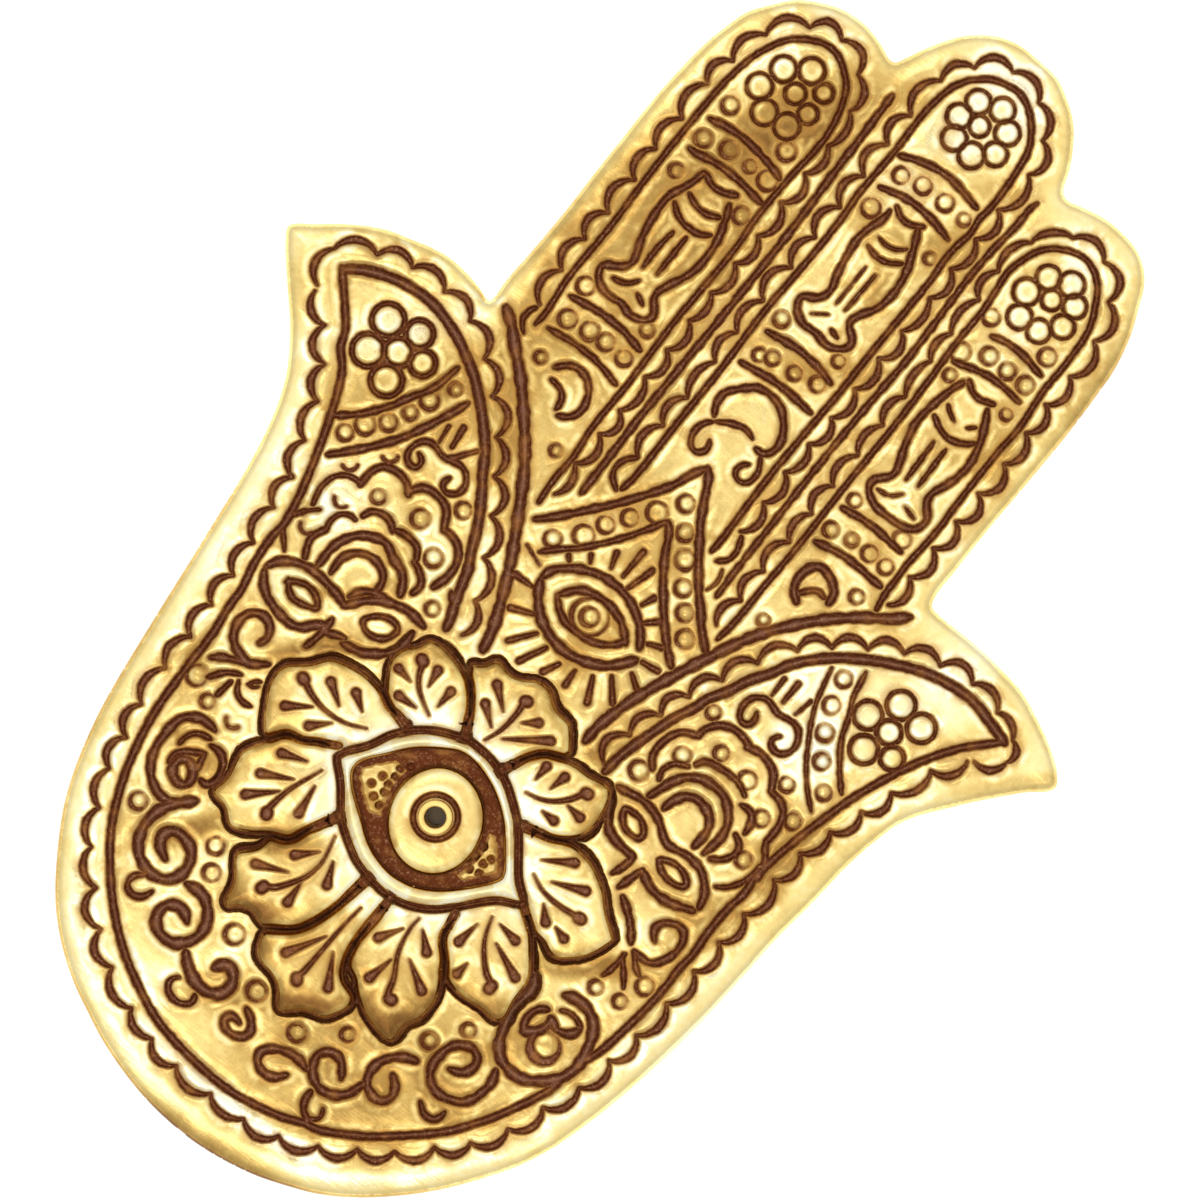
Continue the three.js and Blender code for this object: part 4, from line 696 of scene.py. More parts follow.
# the same for the lotus petals: darker (+) and paler (-) patches, partly tarnish and partly painted shade and painted
# highlight
LOTUS_TONES = [
    (-6.46, -43.99, 2.67, 1.33, 0.66, 0.75, 0.75),
    (-9.18, -44.69, 2.29, 2.10, 0.78, 0.62, 0.75),
    (1.54, -48.72, 3.24, 1.52, 0.78, 0.62, 1.00),
    (-5.02, -46.26, 1.52, 3.24, 0.78, 0.62, 0.75),
    (10.23, -45.12, 2.86, 2.48, 0.78, 0.62, 0.75),
    (16.81, -38.09, 2.10, 2.10, 0.78, 0.62, 0.75),
    (-8.96, -36.99, 4.19, 1.43, 0.78, 0.62, 1.00),
    (-5.13, -11.13, 5.71, 2.29, 0.78, 0.62, 1.00),
    (7.18, -45.11, 9.52, 3.81, 0.78, 0.62, 0.50),
    (12.48, -40.30, 2.86, 3.81, 0.78, 0.62, 0.50),
    (16.90, -34.38, 1.52, 2.86, 0.78, 0.62, -0.50),
    (18.37, -24.72, 1.71, 2.86, 0.78, 0.62, -0.50),
    (0.12, -15.47, 1.90, 1.71, 0.78, 0.62, -0.50),
]
IRIS_C, IRIS_AXIS, IRIS_R = (0.89, -26.88), (-0.423, 0.906), (5.24, 4.67)
FEET = [("palm_left", -21.5, -42.5), ("palm_right", 21.5, -42.5), ("finger_left", -16.6, 44.0), ("finger_right", 17.0, 44.0)]
# overhead panel: brightness by degrees from the lens opening; GAP and DIM lean right, up
SKY = [(0, 0.42), (1.5, 0.46), (3, 0.60), (4.5, 0.76), (7, 0.83), (12, 0.82), (24, 0.72), (38, 0.62), (60, 0.54), (90, 0.50)]
GAP = (0.1, 5.0)
GLOWS = [(-6.5, 14.4, 3, 9, 0.8), (-3.5, -17.6, 3, 9, 0.8), (-15.5, -13.6, 3, 9, 0.8)]
DIM = (-28, 38, 12, 34, 0.0)
SKY_GAIN = 1.6
FLOOR_GLOW = 0.62
CAM_TILT = (0.0, 0.0)
BOXES = []

# ---- curves ---------------------------------------------------------------
def smooth(P, step=0.22, closed=False):
    """Centripetal spline through the points."""
    P = np.asarray(P, float)
    if len(P) < 3:
        n = max(int(np.linalg.norm(P[1] - P[0]) / step), 1)
        return np.linspace(P[0], P[1], n + 1)
    if closed:
        Q = np.vstack([P[-1], P, P[0], P[1]])
    else:
        Q = np.vstack([2 * P[0] - P[1], P, 2 * P[-1] - P[-2]])
    out = []
    for i in range(1, len(Q) - 2):
        p0, p1, p2, p3 = Q[i - 1:i + 3]
        k0, k1, k2 = (max(np.linalg.norm(v), 1e-6) ** 0.5 for v in (p1 - p0, p2 - p1, p3 - p2))
        m1 = k1 * ((p1 - p0) / k0 - (p2 - p0) / (k0 + k1) + (p2 - p1) / k1)
        m2 = k1 * ((p2 - p1) / k1 - (p3 - p1) / (k1 + k2) + (p3 - p2) / k2)
        n = max(int(np.linalg.norm(p2 - p1) / step), 1)
        t = np.linspace(0, 1, n, endpoint=False)[:, None]
        out.append((2 * t**3 - 3 * t**2 + 1) * p1 + (t**3 - 2 * t**2 + t) * m1
                   + (-2 * t**3 + 3 * t**2) * p2 + (t**3 - t**2) * m2)
    if not closed:
        out.append(P[-1:])
    return np.vstack(out)


def flowing(P, rounds=5):
    """A chased course: the spline with its small kinks drawn out, ends kept."""
    Q = smooth(P, 0.2)
    ring = np.linalg.norm(Q[0] - Q[-1]) < 0.35
    for _ in range(rounds):
        M = Q.copy()
        M[1:-1] = 0.25 * Q[:-2] + 0.5 * Q[1:-1] + 0.25 * Q[2:]
        if ring:
            M[0] = M[-1] = 0.25 * Q[-2] + 0.25 * (Q[0] + Q[-1]) + 0.25 * Q[1]
        Q = M
    return Q


def scallop(p, q, h, n=12):
    """Bow between two cusps, bulging by h to the right of travel."""
    t = (q - p) / (np.linalg.norm(q - p) + 1e-9)
    nn = np.array([t[1], -t[0]])
    u = np.linspace(0, 1, n)[:, None]
    return p + (q - p) * u + h * nn * np.sin(np.pi * u) ** 0.72


def stroke(P, w, end=0.62, run=0.8, rough=1.0):
    """Widths along a course: drawn in towards the ends, a little uneven between."""
    s = np.r_[0, np.cumsum(np.linalg.norm(np.diff(P, axis=0), axis=1))]
    if np.linalg.norm(P[0] - P[-1]) < 0.35:
        return w * (1 + rough * (0.10 * np.sin(s * 1.9 + P[0, 0]) + 0.06 * np.sin(s * 4.3 + P[0, 1])))
    k = np.clip(np.minimum(s, s[-1] - s) / min(run, 0.35 * s[-1]), 0, 1)
    return w * (end + (1 - end) * np.sqrt(k)) * (1 + rough * (0.10 * np.sin(s * 1.9 + P[0, 0]) + 0.06 * np.sin(s * 4.3 + P[0, 1])))


def ring_pts(c, r, n=36, a0=0.0, a1=2 * math.pi):
    a = np.linspace(a0, a1, n)
    return np.c_[c[0] + r * np.cos(a), c[1] + r * np.sin(a)]


def waves(X, Y, amp, lo, hi, n, seed):
    """Smooth random unevenness from a fan of sines."""
    g = np.random.default_rng(seed)
    Z = np.zeros_like(X)
    for _ in range(n):
        k = 2 * math.pi / g.uniform(lo, hi)
        a = g.uniform(0, math.pi)
        Z += np.sin(k * (X * math.cos(a) + Y * math.sin(a)) + g.uniform(0, 6.283))
    return Z * amp / math.sqrt(n / 2)


def blurred(A, r, rounds=3):
    """mean over a square of half side r cells, a few times over"""
    for _ in range(rounds):
        for ax in (0, 1):
            B = np.pad(A, [(r + 1, r) if k == ax else (0, 0) for k in (0, 1)], mode="edge").cumsum(ax)
            n = A.shape[ax]
            hi = np.take(B, np.arange(2 * r + 1, 2 * r + 1 + n), ax)
            A = (hi - np.take(B, np.arange(0, n), ax)) / (2 * r + 1.0)
    return A


def ease(t):
    t = np.clip(t, 0, 1)
    return t * t * (3 - 2 * t)


# ---- fields on a regular grid ----------------------------------------------
class Field:
    def __init__(self, x0, y0, x1, y1, pitch, wobble=0.0, seed=0):
        self.h = pitch
        self.xs = np.arange(x0, x1 + pitch, pitch)
        self.ys = np.arange(y0, y1 + pitch, pitch)
        self.X, self.Y = np.meshgrid(self.xs, self.ys)
        self.E = np.full(self.X.shape, 6.0)   # distance to the nearest groove's edge
        self.D = np.zeros(self.X.shape)       # groove depth
        self.N = waves(self.X, self.Y, wobble, 0.5, 1.6, 30, seed)   # uneven edges of hand work

    def win(self, lo, hi):
        i0 = max(int((lo[1] - self.ys[0]) / self.h), 0)
        i1 = min(int((hi[1] - self.ys[0]) / self.h) + 2, len(self.ys))
        j0 = max(int((lo[0] - self.xs[0]) / self.h), 0)
        j1 = min(int((hi[0] - self.xs[0]) / self.h) + 2, len(self.xs))
        return slice(i0, max(i1, i0)), slice(j0, max(j1, j0))

    def dist(self, P, r=0.0, reach=1.6, closed=False, full=9.0):
        """Distance to a polyline less its (possibly varying) half width."""
        P = np.asarray(P, float)
        r = np.broadcast_to(np.asarray(r, float), (len(P),))
        if closed:
            P = np.vstack([P, P[:1]])
            r = np.r_[r, r[:1]]
        m = reach + r.max()
        W = self.win(P.min(0) - m, P.max(0) + m)
        X, Y = self.X[W], self.Y[W]
        L = np.full(X.shape, full)
        for k in range(len(P) - 1):
            a, b = P[k], P[k + 1]
            d = b - a
            q = d @ d
            lo, hi = np.minimum(a, b) - m, np.maximum(a, b) + m
            w = self.win(lo, hi)
            s = (slice(w[0].start - W[0].start, w[0].stop - W[0].start),
                 slice(w[1].start - W[1].start, w[1].stop - W[1].start))
            x, y = X[s] - a[0], Y[s] - a[1]
            t = np.clip((x * d[0] + y * d[1]) / q, 0, 1) if q > 1e-12 else 0.0
            e = np.hypot(x - t * d[0], y - t * d[1]) - (r[k] + (r[k + 1] - r[k]) * t)
            np.minimum(L[s], e, out=L[s])
        return W, L

    def cut(self, P, w, depth=0.42, wall=0.32, closed=False, fade=0.0):
        """Chases a round-bottomed groove of width w along the line."""
        W, e = self.dist(P, np.asarray(w) / 2.0, closed=closed)
        e = e + self.N[W]
        u = np.clip(-e / wall, 0, 1)
        np.maximum(self.D[W], depth * (1 - (1 - u) ** 2), out=self.D[W])
        np.minimum(self.E[W], e + fade, out=self.E[W])

    def signed(self, P, reach=6.0):
        """Signed distance to a closed outline, negative inside."""
        P = np.asarray(P, float)
        S = np.full(self.X.shape, reach)
        W, L = self.dist(P, 0.0, reach, closed=True)
        S[W] = np.minimum(L, reach)
        Q = np.roll(P, -1, axis=0)
        inside = np.zeros(self.X.shape, bool)
        for i, y in enumerate(self.ys):
            m = (P[:, 1] > y) != (Q[:, 1] > y)
            if m.any():
                a, b = P[m], Q[m]
                xc = np.sort(a[:, 0] + (y - a[:, 1]) * (b[:, 0] - a[:, 0]) / (b[:, 1] - a[:, 1]))
                inside[i] = np.searchsorted(xc, self.xs) % 2 == 1
        return np.where(inside, -S, S)

    def at(self, A, p):
        """Bilinear sample of a grid at points."""
        u = np.clip((p[:, 0] - self.xs[0]) / self.h, 0, len(self.xs) - 1.001)
        v = np.clip((p[:, 1] - self.ys[0]) / self.h, 0, len(self.ys) - 1.001)
        j, i = u.astype(int), v.astype(int)
        a, b = u - j, v - i
        return (A[i, j] * (1 - a) * (1 - b) + A[i, j + 1] * a * (1 - b)
                + A[i + 1, j] * (1 - a) * b + A[i + 1, j + 1] * a * b)


# ---- meshes ------------------------------------------------------------------
def mesh_object(name, V, faces, attrs=None, uv=None):
    me = bpy.data.meshes.new(name)
    V = np.asarray(V, float) * 0.001
    loops = np.concatenate([np.asarray(f, np.int32).ravel() for f in faces])
    sizes = np.concatenate([np.full(len(f), len(f[0]), np.int32) for f in faces if len(f)])
    me.vertices.add(len(V))
    me.vertices.foreach_set("co", V.astype(np.float32).ravel())
    me.loops.add(len(loops))
    me.loops.foreach_set("vertex_index", loops)
    me.polygons.add(len(sizes))
    me.polygons.foreach_set("loop_start", np.r_[0, np.cumsum(sizes)[:-1]].astype(np.int32))
    me.polygons.foreach_set("loop_total", sizes)
    me.polygons.foreach_set("use_smooth", np.ones(len(sizes), bool))
    me.update(calc_edges=True)
    me.validate()
    for k, a in (attrs or {}).items():
        at = me.attributes.new(k, "FLOAT", "POINT")
        at.data.foreach_set("value", np.asarray(a, np.float32))
    if uv is not None:
        lay = me.uv_layers.new(name="OFBake")
        li = np.zeros(len(me.loops), np.int32)
        me.loops.foreach_get("vertex_index", li)
        lay.data.foreach_set("uv", np.asarray(uv, np.float32)[li].ravel())
    ob = bpy.data.objects.new(name, me)
    bpy.context.scene.collection.objects.link(ob)
    return ob


def loops_of(edges):
    """Ordered closed loops from directed boundary edges."""
    nxt = {}
    for a, b in edges.tolist():
        nxt.setdefault(a, []).append(b)
    out = []
    while nxt:
        a = next(iter(nxt))
        loop = [a]
        while True:
            b = nxt[loop[-1]].pop()
            if not nxt[loop[-1]]:
                del nxt[loop[-1]]
            if b == a or b not in nxt:
                break
            loop.append(b)
        out.append(loop)
    return out


def relief_solid(name, F, S, Z, rim, floor, attrs, floor_step=1.1, floor_wave=0.0):
    """Closed solid: a height field over S < 0, a lofted rim and a floor.

    rim: (outward offset, "rel" or "abs", z) rings below the top's edge."""
    h = F.h
    gy, gx = np.gradient(S, h)
    g = np.hypot(gx, gy) + 1e-9
    gx, gy = gx / g, gy / g
    use = S < 0.45 * h
    snap = use & (S > -0.5 * h)
    PX = np.where(snap, F.X - S * gx, F.X)
    PY = np.where(snap, F.Y - S * gy, F.Y)
    idx = -np.ones(S.shape, int)
    a, b, c, d = use[:-1, :-1], use[:-1, 1:], use[1:, 1:], use[1:, :-1]
    n4 = a.astype(int) + b + c + d
    quad = n4 == 4
    keep = np.zeros(S.shape, bool)
    for s, q in (((slice(None, -1), slice(None, -1)), quad), ((slice(None, -1), slice(1, None)), quad),
                 ((slice(1, None), slice(1, None)), quad), ((slice(1, None), slice(None, -1)), quad)):
        keep[s] |= q
    tri = (n4 == 3)
    for s, q in (((slice(None, -1), slice(None, -1)), a), ((slice(None, -1), slice(1, None)), b),
                 ((slice(1, None), slice(1, None)), c), ((slice(1, None), slice(None, -1)), d)):
        keep[s] |= tri & q
    idx[keep] = np.arange(keep.sum())
    ia, ib, ic, id_ = idx[:-1, :-1], idx[:-1, 1:], idx[1:, 1:], idx[1:, :-1]
    quads = np.c_[ia[quad], ib[quad], ic[quad], id_[quad]]
    tris = []
    for miss, tr in ((a, (ib, ic, id_)), (b, (ia, ic, id_)), (c, (ia, ib, id_)), (d, (ia, ib, ic))):
        m = tri & ~miss
        tris.append(np.c_[tr[0][m], tr[1][m], tr[2][m]])
    tris = np.vstack(tris)
    top = np.c_[PX[keep], PY[keep]]
    zt = F.at(Z, top)
    E = np.vstack([quads[:, [0, 1]], quads[:, [1, 2]], quads[:, [2, 3]], quads[:, [3, 0]],
                   tris[:, [0, 1]], tris[:, [1, 2]], tris[:, [2, 0]]])
    n = len(top)
    key = E[:, 0] * n + E[:, 1]
    rev = E[:, 1] * n + E[:, 0]
    bd = E[~np.isin(key, rev)]
    loops = [lp for lp in loops_of(bd) if len(lp) > 12]
    V = [np.c_[top, zt]]
    A = {k: [F.at(v, top)] for k, v in attrs.items()}
    lo, hi = top.min(0) - 3, top.max(0) + 3
    side = (hi - lo).max()
    UV = [(top - lo) / side * [0.5, 0.5]]
    faces_q, faces_t = [quads], [tris] if len(tris) else []
    count = n
    ends, end_xy = [], []
    for lp in loops:
        p = top[lp]
        nx = F.at(gx, p)
        ny = F.at(gy, p)
        nn = np.c_[nx, ny]
        for _ in range(3):
            nn = nn + 0.5 * (np.roll(nn, 1, 0) + np.roll(nn, -1, 0))
            nn /= np.linalg.norm(nn, axis=1, keepdims=True) + 1e-9
        prev = np.array(lp)
        zprev = zt[lp]
        run, oprev = 0.0, 0.0
        for off, kind, z in rim:
            q = p + nn * off
            zz = zt[lp] + z if kind == "rel" else np.full(len(lp), z)
            run += float(np.hypot(off - oprev, np.median(np.abs(zz - zprev))))
            new = count + np.arange(len(lp))
            count += len(lp)
            V.append(np.c_[q, zz])
            UV.append((p + nn * min(run, 2.6) - lo) / side * [0.5, 0.5])
            for k, v in attrs.items():
                A[k].append(F.at(v, p) * 0 + (RIM_E if k == "edge" else F.at(v, p)))
            pn, nw = np.roll(prev, -1), np.roll(new, -1)
            faces_q.append(np.c_[prev, new, nw, pn])
            prev, zprev, oprev = new, zz, off
        ends.append(prev)
        end_xy.append(q)
    # floor
    oo = rim[-1][0]
    B = np.vstack(end_xy)
    step = floor_step
    bx, by = np.meshgrid(np.arange(lo[0], hi[0], step), np.arange(lo[1], hi[1], step))
    P = np.c_[bx.ravel(), by.ravel()] + rng.uniform(-0.25, 0.25, (bx.size, 2)) * step
    P = P[F.at(S, P) < oo - 0.45 * step - 0.12]
    cons, s0 = [], 0
    for e in end_xy:
        m = len(e)
        cons += [(s0 + i, s0 + (i + 1) % m) for i in range(m)]
        s0 += m
    allp = np.vstack([B, P])
    vo, _, fo, ov, _, _ = delaunay_2d_cdt([Vector(v) for v in allp.tolist()], cons, [], 1, 1e-6)
    ends = np.concatenate(ends)
    base = count
    gid = np.full(len(allp), -1)
    gid[:len(B)] = ends
    gid[len(B):] = base + np.arange(len(P))
    V.append(np.c_[P, floor + (waves(P[:, 0], P[:, 1], floor_wave, 6, 16, 14, 5) if floor_wave else 0) * np.ones(len(P))])
    UV.append((P - lo) / side * [0.5, 0.5] + [0.5, 0.0])
    for k, v in attrs.items():
        A[k].append(np.full(len(P), 6.0 if k == "edge" else 0.0))
    count += len(P)
    omap = np.array([o[0] if o else -1 for o in ov])
    ft = np.array([f for f in fo if len(f) == 3])
    ft = omap[ft]
    ft = ft[(ft >= 0).all(1)]
    cen = allp[ft].mean(1)
    ft = ft[F.at(S, cen) < oo]
    aa, bb, cc = allp[ft[:, 0]], allp[ft[:, 1]], allp[ft[:, 2]]
    ccw = ((bb - aa)[:, 0] * (cc - aa)[:, 1] - (bb - aa)[:, 1] * (cc - aa)[:, 0]) > 0
    ft[ccw] = ft[ccw][:, ::-1]
    faces_t.append(gid[ft])
    V = np.vstack(V)
    return mesh_object(name, V, [np.vstack(faces_q), np.vstack(faces_t)],
                       {k: np.concatenate(v) for k, v in A.items()}, np.vstack(UV))


def lathe(name, profile, axis, n=96, attrs=None):
    """Closed solid of revolution from a closed (r, z) profile."""
    prof = np.asarray(profile, float)
    m = len(prof)
    a = np.linspace(0, 2 * math.pi, n, endpoint=False)
    V = np.stack([axis[0] + prof[None, :, 0] * np.cos(a)[:, None], axis[1] + prof[None, :, 0] * np.sin(a)[:, None],
                  np.broadcast_to(prof[None, :, 1], (n, m))], -1).reshape(-1, 3)
    i, j = np.meshgrid(np.arange(n), np.arange(m), indexing="ij")
    i2, j2 = (i + 1) % n, (j + 1) % m
    Q = np.stack([i * m + j, i2 * m + j, i2 * m + j2, i * m + j2], -1).reshape(-1, 4)
    return mesh_object(name, V, [Q], {k: np.tile(v, n) for k, v in (attrs or {}).items()})


def rounded(poly, r, n=5):
    """Rounds the corners of a closed (r, z) profile."""
    P = np.asarray(poly, float)
    out = []
    for k in range(len(P)):
        a, b, c = P[k - 1], P[k], P[(k + 1) % len(P)]
        rr = min(r, 0.45 * np.linalg.norm(a - b), 0.45 * np.linalg.norm(c - b))
        s, e = b + (a - b) / np.linalg.norm(a - b) * rr, b + (c - b) / np.linalg.norm(c - b) * rr
        for t in np.linspace(0, 1, n):
            out.append((1 - t) ** 2 * s + 2 * t * (1 - t) * b + t * t * e)
    return np.array(out)


def patch(F, x, y, a, b, c, s, k):
    """Soft-edged oval of tone: half axes a, b with a lying along (c, s)."""
    u = ((F.X - x) * c + (F.Y - y) * s) / a
    v = ((F.Y - y) * c - (F.X - x) * s) / b
    return k * np.exp(-(u * u + v * v) ** 1.5)


RIM_E = 1.2
PLATE_TOP, PLATE_BOT = 3.80, 1.20
EYE = np.array([0.66, -26.58])

# ---- hand plate ---------------------------------------------------------------
HF = Field(-46.4, -66.4, 46.4, 66.4, PITCH, 0.016, 31)
outline = smooth(HAND, 0.3, closed=True)
SO = HF.signed(outline)
inner = -SO

for w, P in RUNS:
    Q = flowing(P, 3)
    HF.cut(Q, stroke(Q, w, 0.7, 0.8, 0.4), 0.28 + 0.30 * w, max(0.5 * w, 0.30))
for h, P in SCALLOPS:
    for k in range(len(P) - 1):
        Q = scallop(P[k], P[k + 1], h[k])
        HF.cut(Q, 0.36 + 0.46 * np.sin(np.pi * np.linspace(0, 1, len(Q))), 0.38, 0.30)
for w, P in LINES:
    Q = flowing(P, 7)
    HF.cut(Q, stroke(Q, w), 0.26 + 0.30 * w, max(0.5 * w, 0.28))
for w, P in ARCS:
    Q = flowing(P, 2)
    HF.cut(Q, stroke(Q, w, 0.85, 0.5, 0.5), 0.26 + 0.30 * w, max(0.5 * w, 0.28))
for w, P in RAYS:
    HF.cut(P, [w * 1.05, w * 0.7], 0.38, 0.30)
for x, y, r, w in RINGS:
    a = np.linspace(0, 2 * math.pi, 36)
    HF.cut(ring_pts((x, y), r), w * (0.72 + 0.42 * np.sin(a + 3.6 + 0.9 * math.sin(7.3 * x))), 0.24, 0.24, fade=0.02)
for P in BEADS:
    c, cr, w = P[0], P[1], P[2]
    HF.cut(ring_pts(c, cr), w, 0.42, 0.30, fade=0.02)
for P in CRESCENTS:
    HF.cut(P, 0.40, 0.26, 0.26)
for P in PETALS:
    HF.cut(flowing(np.vstack([P, P[:1]]), 3), 0.56, 0.35, 0.30)

# footprint of the lotus: plain and level
lotus_s = np.full(HF.X.shape, 6.0)
lid_poly = smooth(LID_OUT, 0.3, closed=True)
for P in list(PETALS) + [LID_OUT]:
    lotus_s = np.minimum(lotus_s, HF.signed(smooth(P, 0.3, closed=True), 4.0))

E = HF.E
out_e = np.maximum(E, 0)
bead = np.zeros(HF.X.shape)
for x, y, r, w in RINGS:
    W = HF.win((x - r, y - r), (x + r, y + r))
    q = np.hypot(HF.X[W] - x, HF.Y[W] - y) / (r - w * 0.3)
    bead[W] = np.maximum(bead[W], 0.06 * np.clip(1 - q * q, 0, 1))
for c, cr, w in BEADS:
    W = HF.win((c[0] - cr, c[1] - cr), (c[0] + cr, c[1] + cr))
    q = np.hypot(HF.X[W] - c[0], HF.Y[W] - c[1]) / (cr - w * 0.2)
    bead[W] = np.maximum(bead[W], 0.26 * np.sqrt(np.clip(1 - q * q, 0, 1)))
# each cell of the scalloped edging is a small cushion
cushion = np.zeros(HF.X.shape)
for h, P in SCALLOPS:
    for k in range(len(P) - 1):
        p, q = P[k], P[k + 1]
        ln = np.linalg.norm(q - p)
        tt = (q - p) / ln
        nn = np.array([tt[1], -tt[0]])
        c = (p + q) / 2 + 0.22 * h[k] * nn
        W = HF.win(c - ln, c + ln)
        x, y = HF.X[W] - c[0], HF.Y[W] - c[1]
        uu = ((x * tt[0] + y * tt[1]) / (0.50 * ln)) ** 2 + ((x * nn[0] + y * nn[1]) / (0.55 * abs(h[k]) + 0.35)) ** 2
        cushion[W] = np.maximum(cushion[W], np.clip(1 - uu, 0, 1))
camber = 0.42 * np.clip(1 - inner / 3.4, 0, 1) ** 2.2
lip = 0.90
drop = lip * (1 - np.sqrt(np.clip(1 - (np.clip(lip - inner, 0, lip) / lip) ** 2, 0, 1)))
und = waves(HF.X, HF.Y, 0.040, 5.0, 12.0, 26, 3) + waves(HF.X, HF.Y, 0.006, 1.8, 4.0, 30, 4)
# burrs thrown up along the grooves, higher in some places than in others
burr = np.clip(0.55 + 0.5 * waves(HF.X, HF.Y, 1.0, 2.5, 7.0, 24, 41), 0, 1.4)
lips = 0.010 * burr * (1 - np.exp(-out_e / 0.10)) * np.exp(-out_e / 0.60)
# cells swell between the grooves, more on the palm and the thumbs than on the fingers
swell = 0.085 + 0.045 * ease((14.0 - HF.Y + 0.15 * np.abs(HF.X)) / 18.0)
ZH = (PLATE_TOP - 0.12 - HF.D - swell * np.clip(1 - out_e / 1.15, 0, 1) ** 2 + lips
      + bead + 0.07 * cushion - camber - drop + und * ease(out_e / 0.35))
under = ease((-lotus_s - 0.3) / 0.6)
ZH = ZH * (1 - under) + (PLATE_TOP - 0.16) * under
ZH = np.minimum(ZH, PLATE_TOP + 0.02)
TH = np.zeros(HF.X.shape)
for x, y, a, b, c, s, k in TONES:
    TH += patch(HF, x, y, a, b, c, s, k)
# painted highlight: the cushions of the scalloped edging are painted paler, on the palm and thumbs
TH -= 0.40 * np.sqrt(cushion) * ease((16.0 - HF.Y) / 20.0) * (E > 0)
# painted shade: a dark line along the outer edge, heavier towards the lower left
TH += (0.30 + 1.1 * ease((-22.0 - HF.X * 0.6 - HF.Y * 0.8) / 14.0)) * ease((0.50 - inner) / 0.35)
# and a painted highlight along the crest of the rim, on the palm side
TH -= 0.45 * np.exp(-((inner - 1.9) / 0.8) ** 2) * ease((10.0 - HF.Y) / 20.0)
# darker where the grooves lie close together, paler on open metal
TH += 1.1 * np.clip(blurred((E < 0.1) * 1.0, int(round(1.3 / PITCH))) - 0.27, -0.2, 0.3)
# painted highlight: the domed beads are painted paler
for c, cr, w in BEADS:
    TH -= 0.22 * ease((cr - np.hypot(HF.X - c[0], HF.Y - c[1])) / 0.3)

inset = 0.30
hole = 8.0 - np.hypot(HF.X - EYE[0], HF.Y - EYE[1])
ST = np.maximum(SO + inset, hole)


def edge_drop(i):
    return lip * (1 - math.sqrt(max(1 - ((lip - i) / lip) ** 2, 0)))


rim = [(inset - i, "rel", -(edge_drop(i) - edge_drop(inset))) for i in (0.2, 0.12, 0.06, 0.02, 0.0)]
rim += [(inset, "abs", 2.35), (inset, "abs", 1.75), (inset - 0.06, "abs", 1.45), (inset - 0.2, "abs", 1.27), (inset - 0.42, "abs", PLATE_BOT)]
plate = relief_solid("plate_chased", HF, ST, ZH, rim, PLATE_BOT, {"edge": E, "tone": TH}, 1.1, 0.0)

# ---- lotus ------------------------------------------------------------------------
LB = np.vstack(list(PETALS)).min(0) - 1.5
LT = np.vstack(list(PETALS)).max(0) + 1.5
LF = Field(LB[0], LB[1], LT[0], LT[1], PITCH)
SP = np.full(LF.X.shape, 6.0)
for P in PETALS:
    SP = np.minimum(SP, LF.signed(smooth(P, 0.3, closed=True), 5.0))
SL = LF.signed(lid_poly, 6.0)
sil = np.minimum(SP, SL - 1.3)
for P in PETALS:
    # edges of the petals, run out where they meet the eyelid
    Q = flowing(np.vstack([P, P[:1]]), 3)
    far = LF.at(SL, Q) > 1.7
    k0 = None
    for k in range(len(Q) + 1):
        if k < len(Q) and far[k]:
            k0 = k if k0 is None else k0
        elif k0 is not None:
            if k - k0 > 6:
                R = Q[k0:k]
                a = R[0] + (R[0] - R[5]) / np.linalg.norm(R[0] - R[5]) * 1.5
                b = R[-1] + (R[-1] - R[-6]) / np.linalg.norm(R[-1] - R[-6]) * 1.5
                if np.linalg.norm(R[0] - R[-1]) > 0.4:
                    R = np.vstack([a, R, b])
                LF.cut(R, 0.46, 0.0, 0.4)
            k0 = None
petal_e = LF.E.copy()
LF.E[:] = 6.0
for P in VEINS:
    Q = smooth(P)
    LF.cut(Q, np.linspace(0.24, 0.66, len(Q)), 0.34, 0.26)
    LF.cut(Q[-2:], 1.2, 0.40, 0.30)
for A, B in DROPS:
    LF.cut(np.array([A, A + (B - A) * 0.35, B]), [1.02, 0.66, 0.22], 0.36, 0.28)
LF.cut(lid_poly, 0.60, 0.45, 0.30, closed=True)
vein_e = LF.E
pe = np.maximum(petal_e, 0)
crown = 0.84 * (1 - np.exp(-pe / 0.18)) + 0.16 * ease(pe / 2.4)
dl = np.maximum(SL, 0)
ZL = 4.30 + 0.98 * crown - 0.22 * np.exp(-dl / 1.3) - LF.D - 0.06 * np.exp(-np.maximum(vein_e, 0) / 0.25)
ZL += waves(LF.X, LF.Y, 0.035, 4.0, 9.0, 20, 8) * ease(pe / 0.8)
bed = ease((-SL - 0.15) / 0.4)
stip = np.zeros(LF.X.shape)
for x, y in STIPPLE:
    stip = np.maximum(stip, ease((0.50 - np.hypot(LF.X - x, LF.Y - y)) / 0.32))
